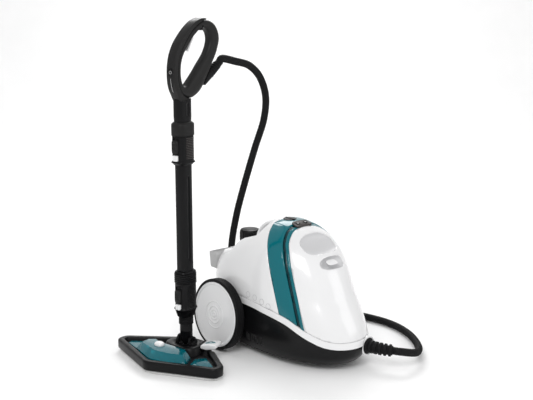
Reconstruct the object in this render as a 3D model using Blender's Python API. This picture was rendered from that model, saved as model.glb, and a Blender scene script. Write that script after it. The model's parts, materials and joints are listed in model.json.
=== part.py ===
"""Steam cleaner: a wheeled canister, its steam hose, and an upright wand on a floor brush.

Metres, +Z up, the canister's nose towards -Y. The wand stands at the canister's left (-X) and
looks along its own -Y, turned WAND_TURN about +Z.
"""

import math

import bmesh
import bpy
import numpy as np
from mathutils import Matrix, Vector

# ---------------------------------------------------------------- driving dimensions
GAP = 0.0003            # between pieces that touch
WALL = 0.003            # casing walls
RUNNING = 0.0006        # between a shaft and what turns on it

CANISTER_AT = (0.111, -0.016, 0.0)
FRONT_REACH = 0.205     # casing's centre to its nose
REAR_REACH = 0.248      # casing's centre to its back
HALF_WIDTH = 0.1265     # casing's widest half
BODY_TOP = 0.330        # floor to the casing's crown
BODY_FOOT = 0.018       # floor to the base's underside
# casing stations: share of the height, of the front reach, of the rear reach, of the half width
STATIONS = (
    (0.055, 0.90, 0.97, 0.92),
    (0.10, 0.97, 0.985, 0.965),
    (0.17, 1.00, 0.995, 0.99),
    (0.273, 0.966, 1.0, 1.0),
    (0.424, 0.84, 1.0, 1.0),
    (0.515, 0.75, 1.0, 0.99),
    (0.606, 0.688, 0.985, 0.965),
    (0.697, 0.615, 0.90, 0.925),
    (0.758, 0.551, 0.80, 0.885),
    (0.818, 0.473, 0.70, 0.825),
    (0.879, 0.371, 0.60, 0.725),
    (0.924, 0.254, 0.50, 0.61),
    (0.964, 0.122, 0.40, 0.455),
    (0.991, -0.02, 0.31, 0.30),
    (1.0, -0.08, 0.26, 0.20),
)
NOSE_ROUND = 2.1        # superellipse power of the plan's front half
TAIL_SQUARE = 3.4       # and of its rear half, low down
CROWN_ROUND = 2.2       # and of its rear half, at the crown

# seams, as (y, z) lines seen from the side
FOOT_SEAM = ((-0.30, 0.058), (-0.19, 0.060), (-0.13, 0.080), (-0.07, 0.108), (0.0, 0.122), (0.07, 0.128),
             (0.30, 0.132))
SKIRT_HEIGHT = 0.016
BAND_REAR = ((-0.089, 0.030), (-0.058, 0.115), (-0.028, 0.190), (0.003, 0.262), (0.026, 0.298),
             (0.042, 0.316), (0.050, 0.327), (0.054, 0.345))
BAND_FRONT = ((-0.149, 0.030), (-0.1155, 0.115), (-0.085, 0.190), (-0.0545, 0.262), (-0.031, 0.298),
              (-0.018, 0.316), (-0.012, 0.327), (-0.010, 0.345))
BAND_SHARES = (0.0, 0.74, 0.87, 1.0)    # where the strips' edges lie between those two lines
BAND_RECESS = 0.0016    # how far the groove sits under the strips
BIN_SEAM = ((0.30, 0.150), (0.238, 0.152), (0.212, 0.163), (0.196, 0.184), (0.190, 0.224), (0.150, 0.243),
            (0.150, 0.40), (0.30, 0.40))
BIN_RIM = ((0.30, 0.212), (0.140, 0.246))
SHOULDER = ((0.064, 0.40), (0.064, 0.306), (0.070, 0.294), (0.082, 0.288), (0.110, 0.282), (0.130, 0.271),
            (0.151, 0.2440), (0.30, 0.2440), (0.30, 0.40))     # room over the shoulders, for the fingers
HANDLE_LINE = ((0.0655, 0.3200), (0.085, 0.3175), (0.106, 0.3085), (0.124, 0.2930), (0.134, 0.2740),
               (0.137, 0.2560))
POCKET_WALL = 0.006
POCKET_INNER = 0.046    # centre plane to the pockets' inner side

WHEEL_RADIUS = 0.090
TYRE_WIDTH = 0.024
TYRE_DEPTH = 0.0075
WHEEL_Y = 0.135
WHEEL_CAMBER = math.radians(4.0)
WHEEL_CLEAR = 0.0135    # casing to wheel
CAP_RISE = 0.006
AXLE_RADIUS = 0.005

CASTER_AT = (0.0, -0.098)
CASTER_RADIUS = 0.019
CASTER_WIDTH = 0.016
CASTER_TRAIL = 0.013
CASTER_PIN_RADIUS = 0.0025
CASTER_CUP_RADIUS = 0.040

HANDLE_WIDTH = 0.058    # carry handle
CAP_AT = (0.0, 0.197)
CAP_RADIUS = 0.027
CAP_TOP = 0.276
NECK_RADIUS = 0.016

DIAL_RADIUS = 0.017
DIAL_RISE = 0.004
DIAL_Y = 0.040
PANEL_SIZE = (0.050, 0.027)
PANEL_Y = -0.003
BUTTON_RADIUS = 0.0048
BUTTON_SPREAD = 0.012
BUTTON_TRAVEL = 0.0010

SCOOP_Z = 0.2935
SCOOP_SIZE = (0.062, 0.034, 0.020)      # half width, half length down the slope, depth
SCOOP_LEAN = math.radians(36.0)
BASIN_X = 0.010
BASIN_Z = 0.250
BASIN_SIZE = (0.046, 0.0165, 0.016)
BASIN_LEAN = math.radians(57.5)

GLAND_AT = (0.042, 0.052)       # x and z of the hose gland on the nose
GLAND_YAW = math.radians(6.0)
BOOT_YAW = math.radians(38.0)   # where the boot's far end looks
BOOT_DROOP = 0.07
GLAND_RADIUS = 0.0215
HOSE_RADIUS = 0.0095
BOOT_LENGTH = 0.072

WAND_AT = (-0.1432, 0.121, 0.0)
WAND_TURN = math.radians(-80.0)
TUBE_SIZE = (0.032, 0.038)
CONNECTOR_SIZE = (0.040, 0.050)
TUBE_Z = (0.224, 0.4855)
UPPER_Z = (0.4855, 0.5555, 0.5880)
LOWER_Z = (0.108, 0.194, 0.224)
BELLOWS_Z = (0.0875, 0.108)
PIVOT_Z = 0.046
NECK_PIPE_RADIUS = 0.0155
LATCH_SIZE = (0.018, 0.0055, 0.033)
RELEASE_SIZE = (0.015, 0.0050, 0.0140)
GRIP_WIDTH = 0.026

BRUSH_TIPS = 0.168
BRUSH_PLAN = ((0.145, 0.0), (0.078, 1.0), (0.048, 1.0), (-0.050, 0.17))
PAD_THICK = 0.008
BRUSH_Z = (0.008, 0.032)
BRUSH_FLOOR = 0.020
BRUSH_RIM = 0.016
PEDAL_OUT = 0.045       # wand's axis to the pedal's hinge
PEDAL_TURN = math.radians(-72.0)

# ---------------------------------------------------------------- finishes
COLOURS = {
    "white_gloss": ((0.88, 0.88, 0.88), 0.22, 0.0),
    "teal_gloss": ((0.0, 0.27, 0.31), 0.2, 0.0),
    "teal_dark": ((0.0, 0.09, 0.11), 0.3, 0.0),
    "teal_clear": ((0.0, 0.33, 0.40), 0.12, 0.0),
    "black_satin": ((0.025, 0.025, 0.027), 0.4, 0.0),
    "black_rubber": ((0.018, 0.018, 0.018), 0.75, 0.0),
    "graphite": ((0.075, 0.072, 0.072), 0.45, 0.0),
    "grey_panel": ((0.16, 0.15, 0.145), 0.5, 0.0),
    "grey_light": ((0.55, 0.55, 0.55), 0.5, 0.0),
    "steel": ((0.6, 0.6, 0.6), 0.3, 1.0),
    "brass": ((0.6, 0.45, 0.2), 0.35, 1.0),
    "board_green": ((0.02, 0.15, 0.06), 0.6, 0.0),
    "cloth_white": ((0.85, 0.85, 0.85), 0.95, 0.0),
}


def clear_scene():
    for obj in list(bpy.data.objects):
        bpy.data.objects.remove(obj, do_unlink=True)


def finish(name):
    """The Principled material of one finish, made once."""
    if name in bpy.data.materials:
        return bpy.data.materials[name]
    colour, roughness, metallic = COLOURS[name]
    made = bpy.data.materials.new(name)
    made.use_nodes = True
    shader = made.node_tree.nodes["Principled BSDF"]
    shader.inputs["Base Color"].default_value = (*colour, 1.0)
    shader.inputs["Roughness"].default_value = roughness
    shader.inputs["Metallic"].default_value = metallic
    return made


def empty(name, at, parent=None, turn=0.0, tilt=0.0):
    made = bpy.data.objects.new(name, None)
    made.location = at
    made.rotation_euler = (0.0, tilt, turn)
    made.parent = parent
    bpy.context.scene.collection.objects.link(made)
    return made


def solid(name, points, faces, material, parent=None, at=(0, 0, 0), rotation=(0, 0, 0)):
    """One closed mesh object, its faces turned to point outwards."""
    mesh = bpy.data.meshes.new(name)
    mesh.from_pydata([tuple(p) for p in points], [], [tuple(f) for f in faces])
    shape = bmesh.new()
    shape.from_mesh(mesh)
    bmesh.ops.recalc_face_normals(shape, faces=shape.faces)
    shape.to_mesh(mesh)
    shape.free()
    mesh.shade_smooth()
    mesh.set_sharp_from_angle(angle=math.radians(35))
    made = bpy.data.objects.new(name, mesh)
    if material:
        mesh.materials.append(finish(material))
    made.parent = parent
    made.location = at
    made.rotation_euler = rotation
    bpy.context.scene.collection.objects.link(made)
    return made


def as_cutter(obj):
    obj.hide_render = True
    obj.display_type = "WIRE"
    return obj


def boolean(obj, cutter, operation="DIFFERENCE"):
    step = obj.modifiers.new(cutter.name, "BOOLEAN")
    step.operation = operation
    step.solver = "EXACT"
    step.object = cutter


def bevel(obj, width, segments=1, angle=35):
    step = obj.modifiers.new("edges", "BEVEL")
    step.width = width
    step.segments = segments
    step.limit_method = "ANGLE"
    step.angle_limit = math.radians(angle)


def lofted(rings):
    """Points and faces of a solid through rings of equal count, with a flat cap at both ends."""
    count = len(rings[0])
    points = np.concatenate(rings)
    faces = []
    for level in range(len(rings) - 1):
        low = level * count
        for k in range(count):
            nxt = (k + 1) % count
            faces.append((low + k, low + nxt, low + count + nxt, low + count + k))
    faces.append(tuple(range(count))[::-1])
    faces.append(tuple(range(len(points) - count, len(points))))
    return points, faces


def prism(outline, low, high, along="Z"):
    """An outline drawn out between two heights: (x, y) for Z, (y, z) for X, (x, z) for Y."""
    place = {
        "Z": lambda a, b, h: (a, b, h),
        "X": lambda a, b, h: (h, a, b),
        "Y": lambda a, b, h: (a, h, b),
    }[along]
    return lofted([np.array([place(a, b, h) for a, b in outline]) for h in (low, high)])


def block(low, high):
    outline = ((low[0], low[1]), (high[0], low[1]), (high[0], high[1]), (low[0], high[1]))
    return prism(outline, low[2], high[2])


def turned(profile, steps=32, along="Z"):
    """A profile of (radius, height) turned about an axis; points at radius 0 become poles."""
    place = {
        "Z": lambda c, s, h: (c, s, h),
        "X": lambda c, s, h: (h, c, s),
        "Y": lambda c, s, h: (s, h, c),
    }[along]
    closed = profile[0][0] > 0 or profile[-1][0] > 0
    points, rows = [], []
    for radius, height in profile:
        if radius <= 0:
            rows.append([len(points)] * steps)
            points.append(place(0.0, 0.0, height))
            continue
        rows.append(list(range(len(points), len(points) + steps)))
        angles = np.arange(steps) * 2 * math.pi / steps
        points += [place(radius * math.cos(a), radius * math.sin(a), height) for a in angles]
    pairs = list(zip(rows, rows[1:]))
    if closed:
        pairs.append((rows[-1], rows[0]))
    faces = []
    for first, second in pairs:
        for k in range(steps):
            nxt = (k + 1) % steps
            corners = [first[k], first[nxt], second[nxt], second[k]]
            faces.append(tuple(dict.fromkeys(corners)))
    return points, [face for face in faces if len(face) > 2]


def cylinder(radius, low, high, steps=24, along="Z"):
    return turned(((0, low), (radius, low), (radius, high), (0, high)), steps, along)


def superellipse(half_x, half_y, power, count, centre=(0.0, 0.0)):
    angles = np.arange(count) * 2 * math.pi / count
    cos, sin = np.cos(angles), np.sin(angles)
    x = centre[0] + half_x * np.sign(cos) * np.abs(cos) ** (2 / power)
    y = centre[1] + half_y * np.sign(sin) * np.abs(sin) ** (2 / power)
    return np.stack([x, y], axis=1)


def smooth_line(points, per_span=6, closed=False):
    """A centripetal-free Catmull-Rom line through hand-set points."""
    points = np.array(points, float)
    if closed:
        padded = np.vstack([points[-1], points, points[0], points[1]])
    else:
        padded = np.vstack([2 * points[0] - points[1], points, 2 * points[-1] - points[-2]])
    share = np.arange(per_span)[:, None] / per_span
    runs = []
    for k in range(len(padded) - 3):
        a, b, c, d = padded[k:k + 4]
        runs.append(0.5 * (2 * b + (c - a) * share + (2 * a - 5 * b + 4 * c - d) * share**2
                           + (3 * b - a - 3 * c + d) * share**3))
    line = np.vstack(runs)
    return line if closed else np.vstack([line, points[-1]])


def offset_line(line, distance):
    """A closed line moved outwards along its normals, for a line that runs anticlockwise."""
    ahead = np.roll(line, -1, axis=0) - np.roll(line, 1, axis=0)
    ahead /= np.linalg.norm(ahead, axis=1)[:, None]
    return line + distance * np.stack([ahead[:, 1], -ahead[:, 0]], axis=1)


# ---------------------------------------------------------------- casing
def body_ring(share, inset=0.0, count=44):
    """The casing's plan outline at one share of its height, drawn in by inset."""
    table = np.array(STATIONS)
    front, rear, width = (np.interp(share, table[:, 0], table[:, k]) for k in (1, 2, 3))
    nose = -front * FRONT_REACH + inset
    tail = rear * REAR_REACH - inset
    half = width * HALF_WIDTH - inset
    centre = (nose + tail) / 2
    reach = (tail - nose) / 2
    square = np.interp(share, (0.62, 1.0), (TAIL_SQUARE, CROWN_ROUND))
    angles = (np.arange(count) + 0.5) * 2 * math.pi / count
    cos, sin = np.cos(angles), np.sin(angles)
    power = np.where(sin < 0, NOSE_ROUND, square)
    x = half * np.sign(cos) * np.abs(cos) ** (2 / power)
    y = centre + reach * np.sign(sin) * np.abs(sin) ** (2 / power)
    z = np.full(count, share * BODY_TOP - inset * max(0.0, (share - 0.5) / 0.5) ** 2)
    return np.stack([x, y, z], axis=1)


def body_loft(inset=0.0, low=STATIONS[0][0], high=1.0):
    shares = [low] + [s[0] for s in STATIONS if low < s[0] < high] + [high]
    return lofted([body_ring(share, inset) for share in shares])


def side_region(line, low, high, closed_z):
    """A closed (y, z) outline under (or over) a seam line, drawn out across the casing."""
    outline = list(line) + [(line[-1][0], closed_z), (line[0][0], closed_z)]
    return prism(outline, low, high, "X")


def shifted(line, dy=0.0, dz=0.0):
    return [(y + dy, z + dz) for y, z in line]


def moved_out(line, distance):
    """The shoulder's line moved into the casing, forwards and down."""
    return [(y - distance if y < 0.29 else y, z - distance) for y, z in line]


def band_edge(share, ahead=0.0):
    """A line across the band, share of the way from its rear edge to its front, moved ahead."""
    rear, front = np.array(BAND_REAR), np.array(BAND_FRONT)
    line = rear + share * (front - rear)
    return [(y - ahead, z) for y, z in line]


def crown_height(y):
    """Height of the casing's centre line at y."""
    table = np.array(STATIONS)
    front, rear = -table[:, 1] * FRONT_REACH, table[:, 2] * REAR_REACH
    heights = table[:, 0] * BODY_TOP
    if y < front[-1]:
        return float(np.interp(y, front[4:], heights[4:]))
    if y > rear[-1]:
        return float(np.interp(-y, -rear[4:], heights[4:]))
    return BODY_TOP


def nose_y(height):
    """Where the nose's centre line is at a height."""
    table = np.array(STATIONS)
    return -float(np.interp(height / BODY_TOP, table[:, 0], table[:, 1])) * FRONT_REACH


REACH_X = 0.4           # half length of the cutters that run right across


def casing(canister):
    """Base tray, skirt, rear and front shells, and the three strips of the band between them."""
    hollow = as_cutter(solid("casing_hollow", *body_loft(WALL, low=0.04), None, canister))
    under_foot = as_cutter(solid("under_foot_seam", *side_region(shifted(FOOT_SEAM, dz=-GAP / 2),
                                 -REACH_X, REACH_X, -0.05), None, canister))
    over_foot = as_cutter(solid("over_foot_seam", *side_region(shifted(FOOT_SEAM, dz=GAP / 2),
                                -REACH_X, REACH_X, 0.5), None, canister))
    under_skirt = as_cutter(solid("under_skirt_seam", *side_region(
        shifted(FOOT_SEAM, dz=SKIRT_HEIGHT - GAP / 2), -REACH_X, REACH_X, -0.05), None, canister))
    over_skirt = as_cutter(solid("over_skirt_seam", *side_region(
        shifted(FOOT_SEAM, dz=SKIRT_HEIGHT + GAP / 2), -REACH_X, REACH_X, 0.5), None, canister))

    base = solid("base_tray", *body_loft(0.0), "black_satin", canister)
    boolean(base, under_foot, "INTERSECT")
    boolean(base, as_cutter(solid("tray_hollow", *body_loft(WALL, low=(BODY_FOOT + 0.004) / BODY_TOP),
                                  None, canister)))
    skirt = solid("skirt", *body_loft(0.0), "white_gloss", canister)
    boolean(skirt, over_foot, "INTERSECT")
    boolean(skirt, under_skirt, "INTERSECT")
    boolean(skirt, hollow)

    half = GAP / 2
    behind = band_edge(0.0, -half) + [(0.5, 0.345), (0.5, 0.03)]
    ahead = band_edge(1.0, half) + [(-0.5, 0.345), (-0.5, 0.03)]
    pieces = [("rear_shell", "white_gloss", behind, 0.0), ("front_shell", "white_gloss", ahead, 0.0)]
    strips = (("band_rear", "teal_gloss", 0.0), ("band_groove", "teal_dark", BAND_RECESS),
              ("band_front", "teal_gloss", 0.0))
    for (name, colour, sunk), start, end in zip(strips, BAND_SHARES, BAND_SHARES[1:]):
        pieces.append((name, colour, band_edge(start, half) + band_edge(end, -half)[::-1], sunk))
    rear_hollow = as_cutter(solid("rear_hollow", *body_loft(WALL, low=0.04), None, canister))
    boolean(rear_hollow, as_cutter(solid("shoulder_inside", *prism(moved_out(SHOULDER, WALL), -REACH_X, REACH_X,
                                                                   "X"), None, canister)))
    made = {"base_tray": base, "skirt": skirt}
    for name, colour, outline, sunk in pieces:
        shell = solid(name, *body_loft(sunk, low=0.1), colour, canister)
        region = prism(outline, -REACH_X, REACH_X, "X")
        boolean(shell, as_cutter(solid(name + "_region", *region, None, canister)), "INTERSECT")
        boolean(shell, over_skirt, "INTERSECT")
        boolean(shell, rear_hollow if name == "rear_shell" else hollow)
        made[name] = shell
    room = as_cutter(solid("shoulder_room", *prism(SHOULDER, -REACH_X, REACH_X, "X"), None, canister))
    boolean(made["rear_shell"], room)
    return made


def accessory_bin(canister, shells):
    """The open tray behind the carry handle: a pocket on each side of the boiler's filler."""
    region = as_cutter(solid("bin_region", *prism(BIN_SEAM, -REACH_X, REACH_X, "X"), None, canister))
    boolean(shells["rear_shell"], region)
    inner = [(y - GAP * (1 if y < 0.3 else 0) + 2 * GAP, z + GAP) for y, z in BIN_SEAM]
    tray = solid("accessory_bin", *body_loft(0.0, low=0.3), "grey_light", canister)
    boolean(tray, as_cutter(solid("bin_shape", *prism(inner, -REACH_X, REACH_X, "X"), None, canister)),
            "INTERSECT")
    top = list(BIN_RIM) + [(0.14, 0.5), (0.30, 0.5)]
    boolean(tray, as_cutter(solid("bin_top", *prism(top, -REACH_X, REACH_X, "X"), None, canister)))
    table = np.array(STATIONS)
    outer = float(np.interp(0.66, table[:, 0], table[:, 3])) * HALF_WIDTH - POCKET_WALL * 1.7
    for side, name in ((-1, "left"), (1, "right")):
        outline = superellipse((outer - POCKET_INNER) / 2, 0.0195, 4, 16,
                               (side * (outer + POCKET_INNER) / 2, 0.2195))
        boolean(tray, as_cutter(solid(name + "_pocket", *prism(outline, 0.184, 0.30), None, canister)))
    boolean(tray, as_cutter(solid("filler_hole", *cylinder(NECK_RADIUS + 0.001, 0.1, 0.4), None, canister,
                                  (*CAP_AT, 0.0))))
    return tray


def carry_handle(canister):
    """An arched bar from the band down to the shoulder, with room for the fingers under it."""
    line = smooth_line(HANDLE_LINE, 3)
    ahead = np.gradient(line, axis=0)
    ahead /= np.linalg.norm(ahead, axis=1)[:, None]
    across = np.stack([-ahead[:, 1], ahead[:, 0]], axis=1)
    section = superellipse(HANDLE_WIDTH / 2, 0.0060, 3, 12)
    rings = [np.array([(x, *(point + normal * t)) for x, t in section])
             for point, normal in zip(line, across)]
    bar = solid("carry_handle", *lofted(rings), "white_gloss", canister)
    inside = moved_out(SHOULDER, -GAP)
    boolean(bar, as_cutter(solid("handle_room", *prism(inside, -0.05, 0.05, "X"), None, canister)), "INTERSECT")
    return bar


def filler(canister):
    """Boiler filler: the neck that comes up between the pockets, and its knurled safety cap."""
    bore = 0.010
    solid("filler_neck", *turned(((bore, 0.192), (NECK_RADIUS, 0.192), (NECK_RADIUS, CAP_TOP - 0.010),
                                  (bore, CAP_TOP - 0.010))), "brass", canister, (*CAP_AT, 0.0))
    rim = BIN_RIM[1][1] + (BIN_RIM[0][1] - BIN_RIM[1][1]) * (CAP_AT[1] - 0.14) / 0.16 + 0.004
    hole = NECK_RADIUS + RUNNING
    count = 48
    rings = []
    for radius_share, height in ((1.0, rim + 0.003), (1.0, CAP_TOP - 0.004), (0.9, CAP_TOP)):
        angles = np.arange(count) * 2 * math.pi / count
        ridge = 1.0 - 0.035 * (np.arange(count) % 2)
        radius = CAP_RADIUS * radius_share * ridge
        rings.append(np.stack([radius * np.cos(angles), radius * np.sin(angles),
                               np.full(count, height)], axis=1))
    cap = solid("boiler_cap", *lofted(rings), "black_satin", canister, (*CAP_AT, 0.0))
    boolean(cap, as_cutter(solid("cap_bore", *cylinder(hole, 0.0, CAP_TOP - 0.0095), None, canister,
                                 (*CAP_AT, 0.0))))
    return cap


def controls(canister, shells):
    """Grey panel on the band's top, with two push buttons, and the steam dial behind it."""
    size_x, size_y = PANEL_SIZE
    under = as_cutter(solid("crown_keep_out", *body_loft(-GAP), None, canister))
    height = crown_height(PANEL_Y)
    lean = math.atan2(crown_height(PANEL_Y + 0.015) - crown_height(PANEL_Y - 0.015), 0.03)
    panel = solid("control_panel", *prism(superellipse(size_x / 2, size_y / 2, 6, 20), -0.006, 0.0032),
                  "grey_panel", canister, (0, PANEL_Y, height), (lean, 0, 0))
    bevel(panel, 0.0008)
    boolean(panel, under)
    for side, name in ((-1, "power_button"), (1, "boiler_button")):
        at = (side * BUTTON_SPREAD, PANEL_Y, height)
        boolean(panel, as_cutter(solid(name + "_hole", *cylinder(BUTTON_RADIUS + RUNNING, -0.02, 0.02, 20),
                                       None, canister, at, (lean, 0, 0))))
        solid(name, *cylinder(BUTTON_RADIUS, BUTTON_TRAVEL + 0.0008, 0.0046, 20), "grey_light", canister, at,
              (lean, 0, 0))
    dial_z = crown_height(DIAL_Y) + 0.0006
    stem = 0.0045
    solid("steam_dial", *turned(((0, -0.012), (stem, -0.012), (stem, 0.0), (DIAL_RADIUS, 0.0),
                                 (DIAL_RADIUS, DIAL_RISE * 0.6), (DIAL_RADIUS * 0.8, DIAL_RISE),
                                 (0, DIAL_RISE)), 36), "black_satin", canister, (0, DIAL_Y, dial_z))
    boolean(shells["band_rear"], as_cutter(solid("dial_hole", *cylinder(stem + RUNNING, -0.03, 0.03, 20), None,
                                                 canister, (0, DIAL_Y, dial_z))))


def bowl(canister, shell, name, centre, radii, lean, colour):
    """A dished recess: an ellipsoid cut out of the shell and a thin bowl seated behind it."""
    def ellipsoid(grow):
        steps, rows = 20, 9
        profile = [(math.sin(math.pi * k / rows), -math.cos(math.pi * k / rows)) for k in range(rows + 1)]
        profile[0], profile[-1] = (0, -1), (0, 1)
        points, faces = turned(profile, steps)
        return np.array(points) * (np.array(radii) + grow), faces
    turn = (lean, 0, 0)
    hole = as_cutter(solid(name + "_hole", *ellipsoid(0.0), None, canister, centre, turn))
    boolean(shell, hole)
    dish = solid(name, *ellipsoid(0.0022), colour, canister, centre, turn)
    boolean(dish, as_cutter(solid(name + "_room", *body_loft(WALL + GAP, low=0.06), None, canister)),
            "INTERSECT")
    boolean(dish, hole)
    return dish


def front_details(canister, shells):
    """The grip scoop and the filling basin in the front shell, and the basin's little flap."""
    front = shells["front_shell"]
    bowl(canister, front, "grip_scoop", (0.0, nose_y(SCOOP_Z), SCOOP_Z), SCOOP_SIZE, SCOOP_LEAN, "white_gloss")
    bowl(canister, front, "fill_basin", (BASIN_X, nose_y(BASIN_Z), BASIN_Z), BASIN_SIZE, BASIN_LEAN, "white_gloss")
    solid("fill_flap", *prism(superellipse(0.016, 0.009, 3, 16, (0, -0.0095)), -0.0012, 0.0012),
          "white_gloss", canister, (0.0, nose_y(0.262), 0.2545), (math.radians(25), 0, 0))


def internals(canister):
    """What makes the steam: the water tank, the pump and the boiler."""
    boiler_y, boiler_r = 0.149, 0.047
    dome = 0.012
    solid("boiler", *turned(((0, 0.062), (boiler_r - dome, 0.062), (boiler_r, 0.062 + dome),
                             (boiler_r, 0.168), (boiler_r - dome, 0.1825), (0, 0.1825)), 28),
          "steel", canister, (0, boiler_y, 0))
    shares = ((0.066, 0.088, -0.128, 0.040), (0.120, 0.088, -0.118, 0.040), (0.180, 0.084, -0.092, 0.040),
              (0.212, 0.078, -0.078, 0.036))
    rings = []
    for z, half, nose, tail in shares:
        outline = superellipse(half, (tail - nose) / 2, 4, 20, (0, (nose + tail) / 2))
        rings.append(np.column_stack([outline, np.full(20, z)]))
    solid("water_tank", *lofted(rings), "teal_clear", canister)
    solid("pump", *cylinder(0.018, -0.034, 0.034, 20, "X"), "black_satin", canister, (-0.045, 0.070, 0.052))


def side_wheel(canister, base, side, name):
    """One big wheel: core on a stub axle, tyre round it and a domed cap over its face."""
    inner_x = HALF_WIDTH + WHEEL_CLEAR
    half = TYRE_WIDTH / 2
    centre_z = WHEEL_RADIUS * math.cos(WHEEL_CAMBER) + half * math.sin(WHEEL_CAMBER)
    lean_room = WHEEL_RADIUS * math.sin(WHEEL_CAMBER)
    centre = (side * (inner_x + half * math.cos(WHEEL_CAMBER) + lean_room * 0.5), WHEEL_Y, centre_z)
    spin = empty(name + "_wheel_axis", centre, canister, tilt=-side * WHEEL_CAMBER)
    rim = WHEEL_RADIUS - TYRE_DEPTH
    def out(profile):
        return [(r, side * h) for r, h in profile]
    bore = AXLE_RADIUS + RUNNING
    solid(name + "_wheel", *turned(out(((bore, -half + 0.002), (0.020, -half + 0.002), (0.022, -0.004),
                                        (rim - 0.012, -0.004), (rim - 0.008, -half + 0.002),
                                        (rim, -half + 0.002), (rim, half - 0.004), (rim - 0.004, half - 0.004),
                                        (rim - 0.006, 0.002), (0.018, 0.002), (0.016, half - 0.006),
                                        (bore, half - 0.006))), 40, "X"),
          "black_satin", spin)
    tread = rim + GAP
    solid(name + "_tyre", *turned(out(((tread, -half), (WHEEL_RADIUS - 0.002, -half), (WHEEL_RADIUS, -half + 0.003),
                                       (WHEEL_RADIUS, half - 0.003), (WHEEL_RADIUS - 0.002, half),
                                       (tread, half))), 56, "X"), "black_rubber", spin)
    face = half - 0.004 + GAP
    solid(name + "_hub_cap", *turned(out(((0, face), (rim - 0.001, face), (rim - 0.001, face + 0.004),
                                          (rim - 0.005, face + 0.0055), (rim * 0.6, face + 0.0045),
                                          (0, face + 0.003 + CAP_RISE * 0.5))), 56, "X"),
          "white_gloss", spin)
    inner_end = -half - 0.0165 - WHEEL_CLEAR
    head = 0.009
    solid(name + "_axle", *turned(out(((0, inner_end - 0.004), (head, inner_end - 0.004), (head, inner_end),
                                       (AXLE_RADIUS, inner_end), (AXLE_RADIUS, half - 0.0055),
                                       (0, half - 0.0055))), 24, "X"), "steel", spin)
    boolean(base, as_cutter(solid(name + "_axle_hole", *cylinder(AXLE_RADIUS + GAP, -0.08, 0.08, 24, "X"), None, spin)))
    return spin


def caster(canister, base):
    """The swivelling wheel under the nose, in a cup let into the base."""
    x, y = CASTER_AT
    cup_top = 0.058
    cup = as_cutter(solid("caster_cup", *cylinder(CASTER_CUP_RADIUS, BODY_FOOT + 0.001, cup_top, 32), None,
                          canister, (x, y, 0)))
    boolean(base, cup, "UNION")
    boolean(base, as_cutter(solid("cup_room", *cylinder(CASTER_CUP_RADIUS - 0.0025, -0.05, cup_top - 0.003, 32),
                                  None, canister, (x, y, 0))))
    boolean(base, as_cutter(solid("stem_hole", *cylinder(0.0045, 0.0, 0.1, 16), None, canister, (x, y, 0))))
    turn = empty("caster_axis", (x, y, 0), canister)
    plate_low = cup_top - 0.0085
    fork = solid("caster_fork", *cylinder(0.030, plate_low, cup_top - 0.004, 28), "black_satin", turn)
    cheek = CASTER_WIDTH / 2 + 0.001
    legs = []
    for side in (-1, 1):
        low = (-CASTER_TRAIL - 0.007, side * cheek, CASTER_RADIUS - 0.006)
        high = (-CASTER_TRAIL + 0.007, side * (cheek + 0.004), plate_low + 0.001)
        low, high = np.minimum(low, high), np.maximum(low, high)
        legs.append(as_cutter(solid("fork_leg_%d" % side, *block(low, high), None, turn)))
    legs.append(as_cutter(solid("fork_stem", *cylinder(0.0040, cup_top - 0.006, cup_top + 0.006, 16), None, turn)))
    for leg in legs:
        boolean(fork, leg, "UNION")
    roll = empty("caster_wheel_axis", (-CASTER_TRAIL, 0, CASTER_RADIUS), turn)
    half = CASTER_WIDTH / 2
    boolean(fork, as_cutter(solid("caster_pin", *cylinder(CASTER_PIN_RADIUS, -cheek - 0.003, cheek + 0.003, 16, "Y"),
                                  None, roll)), "UNION")
    bore = CASTER_PIN_RADIUS + RUNNING
    solid("caster_wheel", *turned(((bore, -half), (CASTER_RADIUS - 0.002, -half), (CASTER_RADIUS, -half + 0.002),
                                   (CASTER_RADIUS, half - 0.002), (CASTER_RADIUS - 0.002, half), (bore, half)),
                                  28, "Y"), "black_rubber", roll)


# ---------------------------------------------------------------- hose
def ribbed_profile(length, first, last, ribs, depth):
    """Radius and height of a tapered boot with raised rings along it."""
    profile = [(0, 0.0)]
    pitch = length / ribs
    for k in range(ribs):
        base = first + (last - first) * k / (ribs - 1)
        low = k * pitch
        profile += [(base, low), (base, low + pitch * 0.62), (base - depth, low + pitch * 0.70),
                    (base - depth, low + pitch * 0.98)]
    profile[-1] = (profile[-1][0], length)
    profile.append((0, length))
    return profile


def gland_frame():
    """Where the gland's face is on the nose, and which way it looks."""
    x, z = GLAND_AT
    ring = body_ring(z / BODY_TOP)
    front = ring[ring[:, 1] < 0]
    order = np.argsort(front[:, 0])
    y = float(np.interp(x, front[order, 0], front[order, 1]))
    look = Vector((math.sin(GLAND_YAW), -math.cos(GLAND_YAW), 0.0))
    return Vector((x, y, z)), look


def hose_socket(canister, shells):
    """White boss and black ribbed boot where the hose leaves the nose."""
    face, look = gland_frame()
    turn = (math.radians(90), 0.0, GLAND_YAW)
    back = 0.012
    start = face - look * back
    hole = as_cutter(solid("gland_hole", *cylinder(GLAND_RADIUS + 0.003 + GAP, -0.03, 0.05, 36), None,
                           canister, start, turn))
    for name in ("base_tray", "skirt", "front_shell"):
        boolean(shells[name], hole)
    solid("hose_gland", *turned(((0.0125, 0.0), (GLAND_RADIUS + 0.003, 0.0), (GLAND_RADIUS + 0.003, back + 0.004),
                                 (GLAND_RADIUS + 0.001, back + 0.006), (GLAND_RADIUS - 0.002, back + 0.006),
                                 (GLAND_RADIUS - 0.002, back - 0.004), (0.0125, back - 0.004)), 36),
          "white_gloss", canister, start, turn)
    return bent_boot(canister, face - look * (0.004 - GAP))


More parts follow.
